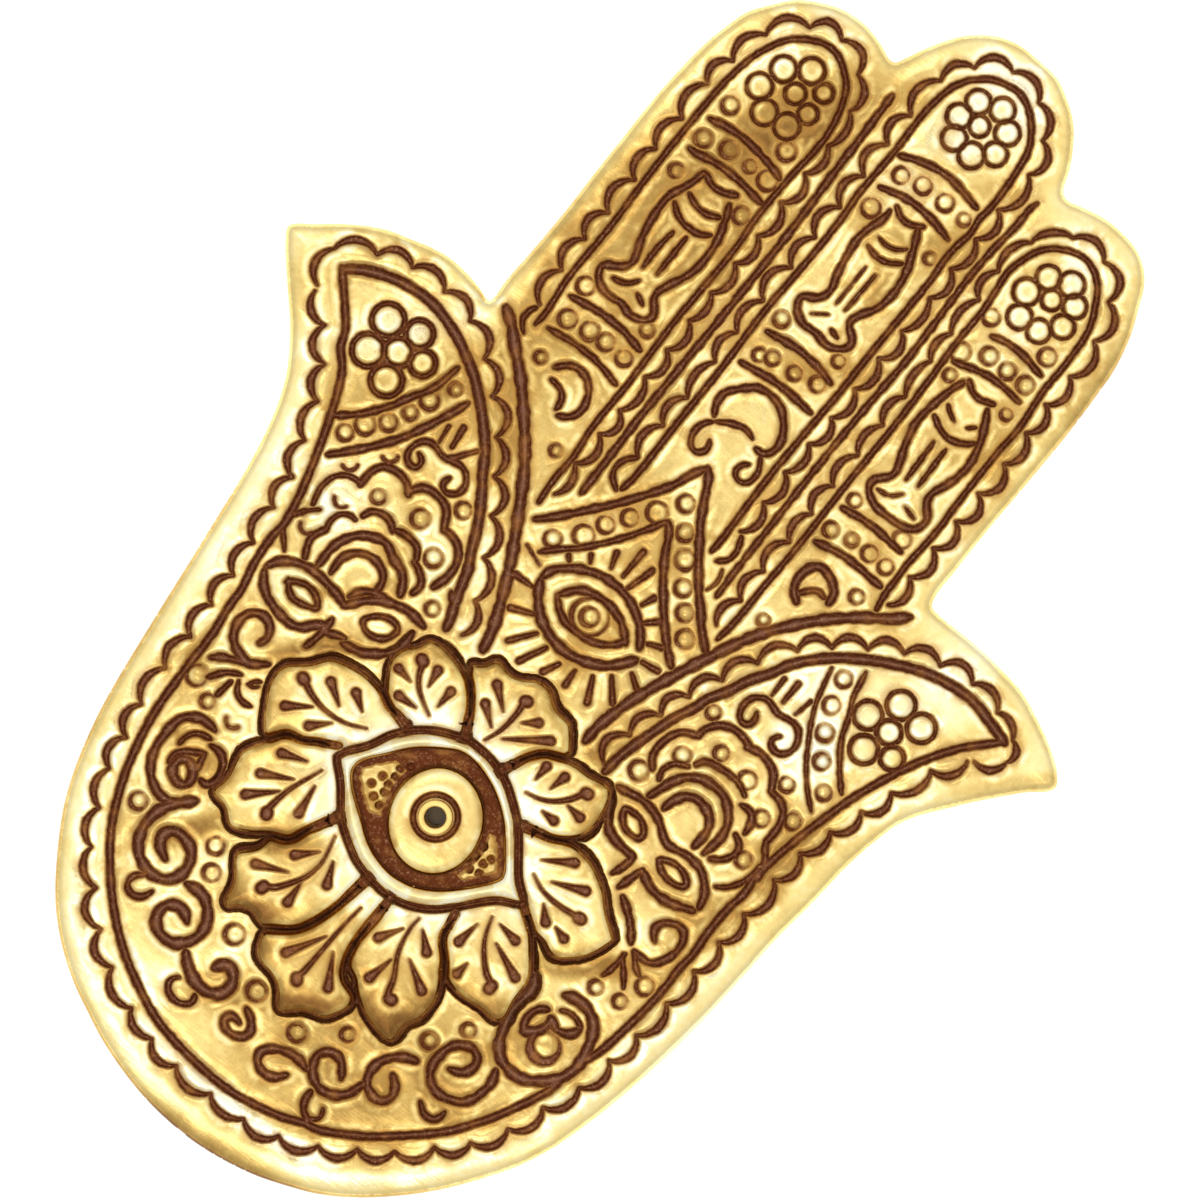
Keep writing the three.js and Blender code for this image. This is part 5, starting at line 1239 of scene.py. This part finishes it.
# bed of the eye: bright punched corners, dark along the lid and around the iris
lid_in = smooth(LID_IN, 0.25, closed=True)
ca, sa = IRIS_AXIS
iu = ((LF.X - IRIS_C[0]) * ca + (LF.Y - IRIS_C[1]) * sa) / IRIS_R[0]
iv = (-(LF.X - IRIS_C[0]) * sa + (LF.Y - IRIS_C[1]) * ca) / IRIS_R[1]
bed_e = np.minimum(-LF.signed(lid_in, 6.0) - 0.25, (np.hypot(iu, iv) - 1) * 4.8 - 0.45)
bed_e += waves(LF.X, LF.Y, 0.05, 0.5, 1.4, 20, 9) - 0.06
bed_e = np.minimum(bed_e, np.maximum(2.7 - np.hypot(LF.X + 5.0, LF.Y + 27.5), 2.6 - np.hypot(LF.X - 6.4, LF.Y + 27.2)))
for x, y in STIPPLE:
    bed_e = np.minimum(bed_e, np.hypot(LF.X - x, LF.Y - y) - 0.29)
ZL = ZL * (1 - bed) + (4.60 - 0.24 * stip + 0.12 * ease(bed_e / 0.3)) * bed
ZL = np.clip(ZL, 4.02, 5.33)
EL = np.minimum(petal_e, vein_e)
EL = np.where(SL < -0.2, np.maximum(bed_e, -0.10), EL)
# painted highlight towards the eyelid, painted shade further out and brown near the petal edges at the tips
TL = -0.75 * np.exp(-(dl / 2.4) ** 2) + 0.22 * ease((dl - 2.5) / 5.0) + 1.15 * np.exp(-pe / 0.9) * ease((dl - 3.0) / 4.0)
TL = np.where(SL < -0.2, 0.8, TL)
for x, y, a, b, c, s, k in LOTUS_TONES:
    TL += patch(LF, x, y, a, b, c, s, k)
RIM_E = -0.25
bore = 2.8 - np.hypot(LF.X - EYE[0], LF.Y - EYE[1])
lotus = relief_solid("lotus_petals", LF, np.maximum(sil + 0.25, bore), ZL,
                     [(0.10, "rel", -0.05), (0.14, "abs", 4.10), (0.14, "abs", 3.86)], 3.86,
                     {"edge": EL, "tone": TL}, 0.9)
spig = lathe("lotus_spigot", rounded([(2.8, 1.24), (7.6, 1.24), (7.6, 3.84), (2.8, 3.84)], 0.12, 3), EYE, 96,
             {"edge": np.full(12, 3.0), "tone": np.zeros(12)})

# ---- eyelid ring ----------------------------------------------------------------------
RF = Field(-13, -38, 15, -16, PITCH * 0.8)
so, si = RF.signed(lid_poly, 5.0), RF.signed(lid_in, 5.0)
SR = np.maximum(so + 0.34, -si + 0.30)
d = np.clip(-SR, 0, None)
ZR = 5.08 + 0.58 * (1 - np.exp(-d / 0.16)) + 0.34 * (1 - np.exp(-(d / 0.62) ** 1.5))
ZR += waves(RF.X, RF.Y, 0.012, 3.0, 8.0, 16, 21)
ER = np.minimum(d - 0.02, 3.0)
# painted shade darkens the band towards its inner edge; elsewhere it is paler
TR = 0.8 * ease(1 - (si - 0.30) / 0.45) - 0.55
ring = relief_solid("eyelid_band", RF, SR + 0.06, ZR, [(0.05, "rel", -0.16), (0.06, "abs", 4.80), (0.03, "abs", 4.76)], 4.76,
                    {"edge": ER, "tone": TR}, 0.8)

# ---- iris ----------------------------------------------------------------------------
IF = Field(-7, -34, 8, -19, PITCH * 0.8)
u = ((IF.X - IRIS_C[0]) * ca + (IF.Y - IRIS_C[1]) * sa) / IRIS_R[0]
v = (-(IF.X - IRIS_C[0]) * sa + (IF.Y - IRIS_C[1]) * ca) / IRIS_R[1]
q = np.hypot(u, v)
SI = (q - 1) * 4.5
si2 = IF.signed(lid_in, 5.0)
SI = np.maximum(SI, si2 + 0.40)
rad = np.hypot(IF.X - EYE[0], IF.Y - EYE[1])
dd = np.clip(-SI, 0, None)
ZI = 5.05 + 0.80 * (1 - np.exp(-dd / 0.22)) + 0.20 * (1 - (1 - np.clip(dd / 2.4, 0, 1)) ** 2)
ge = np.abs(rad - 2.10) - 0.30
ZI -= 0.34 * (1 - (1 - np.clip(-ge / 0.26, 0, 1)) ** 2)
ZI -= 0.05 * np.exp(-np.maximum(ge, 0) / 0.2)
EI = np.minimum(ge, dd - 0.06)
# painted shade: the iris darkens towards the edge of its dome
TI = 0.10 + 0.7 * ease(1 - (dd - 0.05) / 0.7)
iris = relief_solid("iris_boss", IF, np.maximum(SI + 0.05, 1.64 - rad), np.minimum(ZI, 6.09),
                    [(0.04, "rel", -0.10), (0.05, "abs", 4.80), (0.03, "abs", 4.76)], 4.76,
                    {"edge": EI, "tone": TI}, 0.7)

# ---- stick socket, washer, feet -----------------------------------------------------
prof = rounded([(1.0, 0.31), (2.28, 0.31), (2.28, 0.68), (1.32, 0.70), (1.32, 6.16), (1.64, 6.18), (1.64, 6.62), (1.0, 6.62)], 0.24, 7)
# the bore wall is painted near-black: painted shade down the bore
edge = np.where((prof[:, 0] < 1.08) & (prof[:, 1] < 6.30), -0.4, 3.0)
socket = lathe("stick_tube", prof, EYE, 96, {"edge": edge, "tone": np.zeros(len(prof))})
wp = rounded([(2.6, 0.77), (9.98, 0.80), (9.98, 1.14), (1.66, 1.14), (1.66, 0.77)], 0.14, 5)
washer = lathe("washer_disc", wp, EYE, 128, {"edge": np.full(len(wp), 3.0), "tone": np.zeros(len(wp))})

feet = []
for name, x, y in FEET:
    fr = [(0.0, 0.0)] + [(r, 0.0) for r in np.linspace(0.6, 4.1, 9)]
    fr += [(4.38, 0.10), (4.48, 0.30), (4.46, 0.60), (4.48, 0.90), (4.36, 1.08), (4.1, 1.15)]
    fr += [(r, 1.15) for r in np.linspace(3.5, 0.6, 7)] + [(0.0, 1.15)]
    n, m = 120, len(fr)
    prf = np.array(fr)
    a = np.linspace(0, 2 * math.pi, n, endpoint=False)
    V, Q = [], []
    wob = 1 + 0.006 * np.sin(5 * a + x) + 0.008 * rng.standard_normal(n)
    for j, (r, z) in enumerate(prf):
        rr = r * (wob if r > 3 else np.ones(n))
        zz = np.full(n, z)
        if 0.2 < r < 4.2:
            zz = zz + (rng.uniform(0.0, 0.03, n) if z < 0.5 else -rng.uniform(0.0, 0.02, n))
        V.append(np.c_[x + np.minimum(rr, 4.5) * np.cos(a), y + np.minimum(rr, 4.5) * np.sin(a), zz])
    V = np.vstack(V[1:-1])
    k = m - 2
    for j in range(k - 1):
        i0 = np.arange(n)
        Q.append(np.c_[j * n + i0, j * n + (i0 + 1) % n, (j + 1) * n + (i0 + 1) % n, (j + 1) * n + i0])
    V = np.vstack([V, [[x, y, 0.01]], [[x, y, 1.14]]])
    i0 = np.arange(n)
    T = np.vstack([np.c_[np.full(n, k * n), (i0 + 1) % n, i0],
                   np.c_[np.full(n, k * n + 1), (k - 1) * n + i0, (k - 1) * n + (i0 + 1) % n]])
    ob = mesh_object("felt_" + name, V, [np.vstack(Q), T])
    feet.append((ob, "foot_pad_" + name))


# ---- materials -------------------------------------------------------------------------
def new_mat(name):
    m = bpy.data.materials.new(name)
    m.use_nodes = True
    nt = m.node_tree
    nt.nodes.clear()
    out = nt.nodes.new("ShaderNodeOutputMaterial")
    bs = nt.nodes.new("ShaderNodeBsdfPrincipled")
    nt.links.new(bs.outputs["BSDF"], out.inputs["Surface"])
    return m, nt, bs


def node(nt, kind, **kw):
    n = nt.nodes.new(kind)
    for k, v in kw.items():
        setattr(n, k, v)
    return n


def feed(nt, sock, v):
    if isinstance(v, bpy.types.NodeSocket):
        nt.links.new(v, sock)
    else:
        sock.default_value = (*v, 1.0) if isinstance(v, tuple) and len(v) == 3 and sock.type == "RGBA" else v


def math_n(nt, op, a, b=0.0, clamp=False):
    n = node(nt, "ShaderNodeMath", operation=op, use_clamp=clamp)
    feed(nt, n.inputs[0], a)
    feed(nt, n.inputs[1], b)
    return n.outputs[0]


def ramp(nt, fac, stops, interp="LINEAR"):
    n = node(nt, "ShaderNodeValToRGB")
    cr = n.color_ramp
    cr.interpolation = interp
    while len(cr.elements) < len(stops):
        cr.elements.new(0.5)
    for e, (p, c) in zip(cr.elements, stops):
        e.position = p
        e.color = (*c, 1.0) if len(c) == 3 else c
    feed(nt, n.inputs["Fac"], fac)
    return n


def mixc(nt, fac, a, b, blend="MIX"):
    n = node(nt, "ShaderNodeMix", data_type="RGBA", blend_type=blend)
    feed(nt, n.inputs[0], fac)
    feed(nt, n.inputs[6], a)
    feed(nt, n.inputs[7], b)
    return n.outputs[2]


def mixf(nt, fac, a, b):
    n = node(nt, "ShaderNodeMix", data_type="FLOAT")
    feed(nt, n.inputs[0], fac)
    feed(nt, n.inputs[2], a)
    feed(nt, n.inputs[3], b)
    return n.outputs[0]


def maprange(nt, v, a, b, c=0.0, d=1.0, kind="SMOOTHSTEP"):
    n = node(nt, "ShaderNodeMapRange", interpolation_type=kind)
    feed(nt, n.inputs["Value"], v)
    for k, x in zip(("From Min", "From Max", "To Min", "To Max"), (a, b, c, d)):
        n.inputs[k].default_value = x
    return n.outputs["Result"]


def noise(nt, vec, scale, detail=3.0, rough=0.55, dist=0.0):
    n = node(nt, "ShaderNodeTexNoise")
    nt.links.new(vec, n.inputs["Vector"])
    n.inputs["Scale"].default_value = scale
    n.inputs["Detail"].default_value = detail
    n.inputs["Roughness"].default_value = rough
    n.inputs["Distortion"].default_value = dist
    return n


def srgb(r, g, b):
    f = lambda c: c / 12.92 if c <= 0.04045 else ((c + 0.055) / 1.055) ** 2.4
    return tuple(f(v / 255.0) for v in (r, g, b))


def brass(name, aged=True):
    m, nt, bs = new_mat(name)
    tc = node(nt, "ShaderNodeTexCoord")
    obj = tc.outputs["Object"]
    at = node(nt, "ShaderNodeAttribute", attribute_name="edge")
    tn = node(nt, "ShaderNodeAttribute", attribute_name="tone")
    edge, tone = at.outputs["Fac"], tn.outputs["Fac"]
    n_big = noise(nt, obj, 90.0, 4.0, 0.6)
    n_mid = noise(nt, obj, 520.0, 5.0, 0.6)
    n_fine = noise(nt, obj, 2600.0, 3.0, 0.6)
    # brushed grain, drawn out along one direction
    mp = node(nt, "ShaderNodeMapping")
    nt.links.new(obj, mp.inputs["Vector"])
    mp.inputs["Rotation"].default_value = (0.0, 0.0, math.radians(62))
    mp.inputs["Scale"].default_value = (260.0, 3200.0, 900.0)
    n_br = noise(nt, mp.outputs["Vector"], 1.0, 2.0, 0.5)
    n_gr = noise(nt, obj, 1500.0, 3.0, 0.6)
    n_sp = noise(nt, obj, 3400.0, 2.0, 0.6)
    n_st = noise(nt, obj, 230.0, 3.0, 0.6, 0.6)
    def part(n, mid, k):
        return math_n(nt, "MULTIPLY", math_n(nt, "SUBTRACT", n.outputs["Fac"], mid), k)
    def total(*v):
        s = v[0]
        for w in v[1:]:
            s = math_n(nt, "ADD", s, w)
        return s
    e = total(edge, part(n_mid, 0.5, 0.17), part(n_gr, 0.5, 0.14))
    # gold, from bright to dull: the pale end is rubbed metal and painted highlight, the dark end tarnish and painted
    # shade
    t = total(tone, part(n_big, 0.47, 1.1), part(n_st, 0.48, 0.7), part(n_mid, 0.48, 0.5), part(n_gr, 0.5, 0.55))
    # the raised lips along the grooves are painted a step brighter, partly rubbed metal and partly painted highlight
    lip = math_n(nt, "MULTIPLY", maprange(nt, e, 0.10, 0.30, 0.0, 1.0), maprange(nt, e, 0.95, 0.36, 0.0, 1.0))
    lip = math_n(nt, "MULTIPLY", lip, maprange(nt, n_st.outputs["Fac"], 0.60, 0.40, 0.0, 0.7))
    t = math_n(nt, "SUBTRACT", t, lip)
    gold = ramp(nt, maprange(nt, t, -1.0, 2.0, 0.0, 1.0, "LINEAR"), GOLD).outputs["Color"]
    # patina in the grooves; brown on their shoulders and smeared out beside them, partly patina and partly painted
    # shade where the metal slopes into the grooves
    pat = maprange(nt, e, 0.12, -0.12, 0.0, 1.0)
    halo = math_n(nt, "MULTIPLY", maprange(nt, e, 1.2, 0.10, 0.0, 0.50), maprange(nt, n_st.outputs["Fac"], 0.44, 0.64, 0.0, 1.0))
    shoulder = math_n(nt, "ADD", maprange(nt, e, 0.55, 0.04, 0.0, 0.36), maprange(nt, e, 0.20, 0.02, 0.0, 0.36))
    col = mixc(nt, halo, gold, HALO)
    col = mixc(nt, shoulder, col, SHOULDER)
    # over the patina, the groove walls are painted darker as painted shade and the floor paler as a painted reflection
    dp = total(maprange(nt, e, 0.06, -0.56, 0.0, 1.0, "LINEAR"), part(n_sp, 0.5, 0.9))
    deep = ramp(nt, dp, [(0.0, PAT_EDGE), (0.14, PAT_WALL_SHADE), (0.38, PAT_WALL2_SHADE), (0.66, PAT_FLOOR_SHEEN), (1.0, PAT_FLOOR2_SHEEN)]).outputs["Color"]
    deep = mixc(nt, maprange(nt, n_mid.outputs["Fac"], 0.50, 0.68, 0.0, 0.6), deep, PAT_WORN)
    deep = mixc(nt, maprange(nt, n_sp.outputs["Fac"], 0.56, 0.74, 0.0, 0.4), deep, PAT_SPECK)
    col = mixc(nt, pat, col, deep)
    nt.links.new(col, bs.inputs["Base Color"])
    nt.links.new(mixf(nt, pat, 1.0, 0.5), bs.inputs["Metallic"])
    rg = total(maprange(nt, n_mid.outputs["Fac"], 0.3, 0.7, 0.12, 0.20, "LINEAR"), math_n(nt, "MULTIPLY", tone, 0.06))
    nt.links.new(mixf(nt, pat, rg, 0.46), bs.inputs["Roughness"])
    bs.inputs["Specular IOR Level"].default_value = 0.1
    # thin lacquer over the metal
    nt.links.new(math_n(nt, "MULTIPLY", maprange(nt, t, -0.2, 0.8, 0.7, 0.0), mixf(nt, pat, 1.0, 0.0)), bs.inputs["Coat Weight"])
    bs.inputs["Coat Roughness"].default_value = 0.12
    bs.inputs["Coat IOR"].default_value = 1.5
    hgt = math_n(nt, "ADD", math_n(nt, "MULTIPLY", n_br.outputs["Fac"], 0.5),
                 math_n(nt, "ADD", math_n(nt, "MULTIPLY", n_fine.outputs["Fac"], 0.35), math_n(nt, "MULTIPLY", n_mid.outputs["Fac"], 0.5)))
    bp = node(nt, "ShaderNodeBump")
    bp.inputs["Strength"].default_value = 0.22
    bp.inputs["Distance"].default_value = 0.00012
    nt.links.new(hgt, bp.inputs["Height"])
    nt.links.new(bp.outputs["Normal"], bs.inputs["Normal"])
    return m


GOLD = [(0.0, (1.0, 0.945, 0.68)), (0.17, (0.955, 0.81, 0.41)), (0.333, (0.875, 0.660, 0.232)),
        (0.5, (0.64, 0.436, 0.132)), (0.667, (0.41, 0.244, 0.064)), (0.833, (0.225, 0.110, 0.028)), (1.0, (0.13, 0.052, 0.014))]
GOLD_MID, GOLD_HI, GOLD_DEEP = (0.93, 0.665, 0.23), (0.96, 0.74, 0.32), (0.74, 0.47, 0.12)
SHOULDER, HALO = (0.42, 0.20, 0.045), (0.50, 0.275, 0.060)
# patina colours of the grooves, with painted shade on the walls and a painted reflection on the floor
PAT_EDGE, PAT_WALL_SHADE, PAT_WALL2_SHADE = srgb(160, 101, 45), srgb(94, 40, 13), srgb(111, 58, 28)
PAT_FLOOR_SHEEN, PAT_FLOOR2_SHEEN = srgb(122, 74, 49), srgb(134, 91, 68)
PAT_WORN, PAT_SPECK = srgb(172, 114, 58), srgb(200, 154, 112)
brass_mat = brass("aged_brass")


def turned_brass():
    m, nt, bs = new_mat("turned_brass")
    tc = node(nt, "ShaderNodeTexCoord")
    obj = tc.outputs["Object"]
    at = node(nt, "ShaderNodeAttribute", attribute_name="edge")
    nm = noise(nt, obj, 420.0, 4.0, 0.6)
    mp = node(nt, "ShaderNodeMapping")
    nt.links.new(obj, mp.inputs["Vector"])
    mp.inputs["Location"].default_value = (-EYE[0] * 0.001, -EYE[1] * 0.001, 0.0)
    wv = node(nt, "ShaderNodeTexWave", wave_type="RINGS", rings_direction="Z")
    nt.links.new(mp.outputs["Vector"], wv.inputs["Vector"])
    wv.inputs["Scale"].default_value = 620.0
    wv.inputs["Distortion"].default_value = 1.2
    wv.inputs["Detail"].default_value = 2.0
    gold = ramp(nt, nm.outputs["Fac"], [(0.25, GOLD_DEEP), (0.55, GOLD_MID), (0.8, GOLD_HI)]).outputs["Color"]
    # painted shade: the bore wall is mixed to near-black
    pat = maprange(nt, at.outputs["Fac"], 0.06, -0.08)
    nt.links.new(mixc(nt, pat, gold, (*srgb(16, 9, 6), 1.0)), bs.inputs["Base Color"])
    nt.links.new(mixf(nt, pat, 1.0, 0.5), bs.inputs["Metallic"])
    nt.links.new(maprange(nt, nm.outputs["Fac"], 0.3, 0.7, 0.22, 0.38, "LINEAR"), bs.inputs["Roughness"])
    bp = node(nt, "ShaderNodeBump")
    bp.inputs["Strength"].default_value = 0.12
    bp.inputs["Distance"].default_value = 0.00008
    nt.links.new(math_n(nt, "ADD", math_n(nt, "MULTIPLY", wv.outputs["Fac"], 0.6), nm.outputs["Fac"]), bp.inputs["Height"])
    nt.links.new(bp.outputs["Normal"], bs.inputs["Normal"])
    return m


def felt():
    m, nt, bs = new_mat("felt_brown")
    tc = node(nt, "ShaderNodeTexCoord")
    obj = tc.outputs["Object"]
    n1 = noise(nt, obj, 1500.0, 5.0, 0.7, 1.5)
    n2 = noise(nt, obj, 300.0, 3.0, 0.5)
    c = ramp(nt, n1.outputs["Fac"], [(0.3, srgb(44, 34, 28)), (0.5, srgb(66, 52, 42)), (0.72, srgb(96, 78, 62))]).outputs["Color"]
    c = mixc(nt, maprange(nt, n2.outputs["Fac"], 0.35, 0.7, 0.0, 0.4), c, (*srgb(50, 38, 32), 1.0))
    nt.links.new(c, bs.inputs["Base Color"])
    bs.inputs["Roughness"].default_value = 0.95
    bs.inputs["Sheen Weight"].default_value = 0.35
    bs.inputs["Sheen Roughness"].default_value = 0.5
    bp = node(nt, "ShaderNodeBump")
    bp.inputs["Strength"].default_value = 0.6
    bp.inputs["Distance"].default_value = 0.0002
    nt.links.new(n1.outputs["Fac"], bp.inputs["Height"])
    nt.links.new(bp.outputs["Normal"], bs.inputs["Normal"])
    return m


rivet_mat, felt_mat = turned_brass(), felt()


def place(ob, mat, slot, *nodes):
    ob.data.materials.append(mat)
    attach(ob, "root")
    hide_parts(*nodes)


place(plate, brass_mat, "plate_brass", "hand_plate")
place(lotus, brass_mat, "plate_brass", "lotus_boss")
place(spig, brass_mat, "plate_brass", "lotus_boss")
place(ring, brass_mat, "plate_brass", "eyelid_ring")
place(iris, brass_mat, "plate_brass", "iris_dome")
place(socket, rivet_mat, "rivet_brass", "stick_socket")
place(washer, rivet_mat, "rivet_brass", "back_washer")
for ob, nd in feet:
    place(ob, felt_mat, "felt", nd)

# ---- floor, light, camera -----------------------------------------------------------
fm, fnt, fbs = new_mat("floor_white")
fbs.inputs["Base Color"].default_value = (0.84, 0.84, 0.835, 1.0)
fbs.inputs["Roughness"].default_value = 0.9
fbs.inputs["Emission Color"].default_value = (1.0, 1.0, 1.0, 1.0)
# the floor glows except under the hand near the eye, where the glow is off: painted shade under the hand, so the view
# down the bore stays dark
ftc = node(fnt, "ShaderNodeTexCoord")
fds = node(fnt, "ShaderNodeVectorMath", operation="DISTANCE")
fnt.links.new(ftc.outputs["Object"], fds.inputs[0])
fds.inputs[1].default_value = (EYE[0] * 0.001, EYE[1] * 0.001, 0.0)
fnt.links.new(maprange(fnt, fds.outputs["Value"], 0.028, 0.035, 0.0, FLOOR_GLOW), fbs.inputs["Emission Strength"])
fv = [(-0.9, -0.9, 0.0), (0.9, -0.9, 0.0), (0.9, 0.9, 0.0), (-0.9, 0.9, 0.0)]
fme = bpy.data.meshes.new("floor")
fme.from_pydata(fv, [], [(0, 1, 2, 3)])
fob = bpy.data.objects.new("floor", fme)
fob.data.materials.append(fm)
bpy.context.scene.collection.objects.link(fob)

right = Vector((0.7842, 0.6205, 0.0)).normalized()
up = Vector((-0.6205, 0.7842, 0.0)).normalized()
zax = Vector((0.0, 0.0, 1.0))

world = bpy.data.worlds.new("studio")
bpy.context.scene.world = world
world.use_nodes = True
wt = world.node_tree
wt.nodes.clear()
wo = wt.nodes.new("ShaderNodeOutputWorld")
wb = wt.nodes.new("ShaderNodeBackground")
wt.links.new(wb.outputs[0], wo.inputs[0])
wtc = wt.nodes.new("ShaderNodeTexCoord")


def toward(r, u):
    """Sky direction tilted by so many degrees to the right and up of the picture."""
    v = zax + right * math.tan(math.radians(r)) + up * math.tan(math.radians(u))
    return v.normalized()


def dot_with(v):
    n = node(wt, "ShaderNodeVectorMath", operation="DOT_PRODUCT")
    wt.links.new(wtc.outputs["Generated"], n.inputs[0])
    n.inputs[1].default_value = v
    return n.outputs["Value"]


# overhead panel with the lens opening in it, falling off to the sides
ang = math_n(wt, "DIVIDE", math_n(wt, "ARCCOSINE", dot_with(toward(*GAP))), math.pi / 2)
wr = ramp(wt, ang, [(d / 90.0, (v, v, v)) for d, v in SKY], "EASE")
dim = maprange(wt, dot_with(toward(*DIM[:2])), math.cos(math.radians(DIM[3])), math.cos(math.radians(DIM[2])), 0.0, DIM[4])
sky = mixc(wt, dim, wr.outputs["Color"], (0.0, 0.0, 0.0))
for r, u, lo, hi, k in GLOWS:
    sky = mixc(wt, maprange(wt, dot_with(toward(r, u)), math.cos(math.radians(hi)), math.cos(math.radians(lo)), 0.0, k), sky, (1.7, 1.7, 1.7))
wt.links.new(sky, wb.inputs["Color"])
wb.inputs["Strength"].default_value = SKY_GAIN


def softbox(name, at, aim, w, h, power, col=(1, 1, 1)):
    L = bpy.data.lights.new(name, "AREA")
    L.shape = "RECTANGLE"
    L.size, L.size_y, L.energy, L.color = w, h, power, col
    o = bpy.data.objects.new(name, L)
    bpy.context.scene.collection.objects.link(o)
    o.location = at
    o.rotation_euler = (Vector(aim) - Vector(at)).to_track_quat("-Z", "Y").to_euler()
    return o


for nm, a, b, z, w, h, p in BOXES:
    softbox(nm, right * a + up * b + zax * z, (0, 0, 0), w, h, p)

cam = bpy.data.cameras.new("camera")
cam.lens, cam.sensor_width = 120.0, 36.0
cam.clip_start, cam.clip_end = 0.01, 10.0
co = bpy.data.objects.new("camera", cam)
bpy.context.scene.collection.objects.link(co)
tx, ty = math.radians(CAM_TILT[0]), math.radians(CAM_TILT[1])
aim = Vector((0.0001275, -0.0008945, 0.0038))
back = (zax + right * math.tan(tx) + up * math.tan(ty)).normalized()
dist = 0.113806 * cam.lens / cam.sensor_width
co.location = aim + back * dist
yv = (up - back * up.dot(back)).normalized()
xv = yv.cross(back)
M = Matrix((xv, yv, back)).transposed().to_4x4()
M.translation = co.location
co.matrix_world = M
cam.dof.use_dof = False
bpy.context.scene.camera = co
bpy.context.scene.view_settings.view_transform = "Standard"
bpy.context.scene.view_settings.look = "None"
bpy.context.scene.view_settings.exposure = 0.0
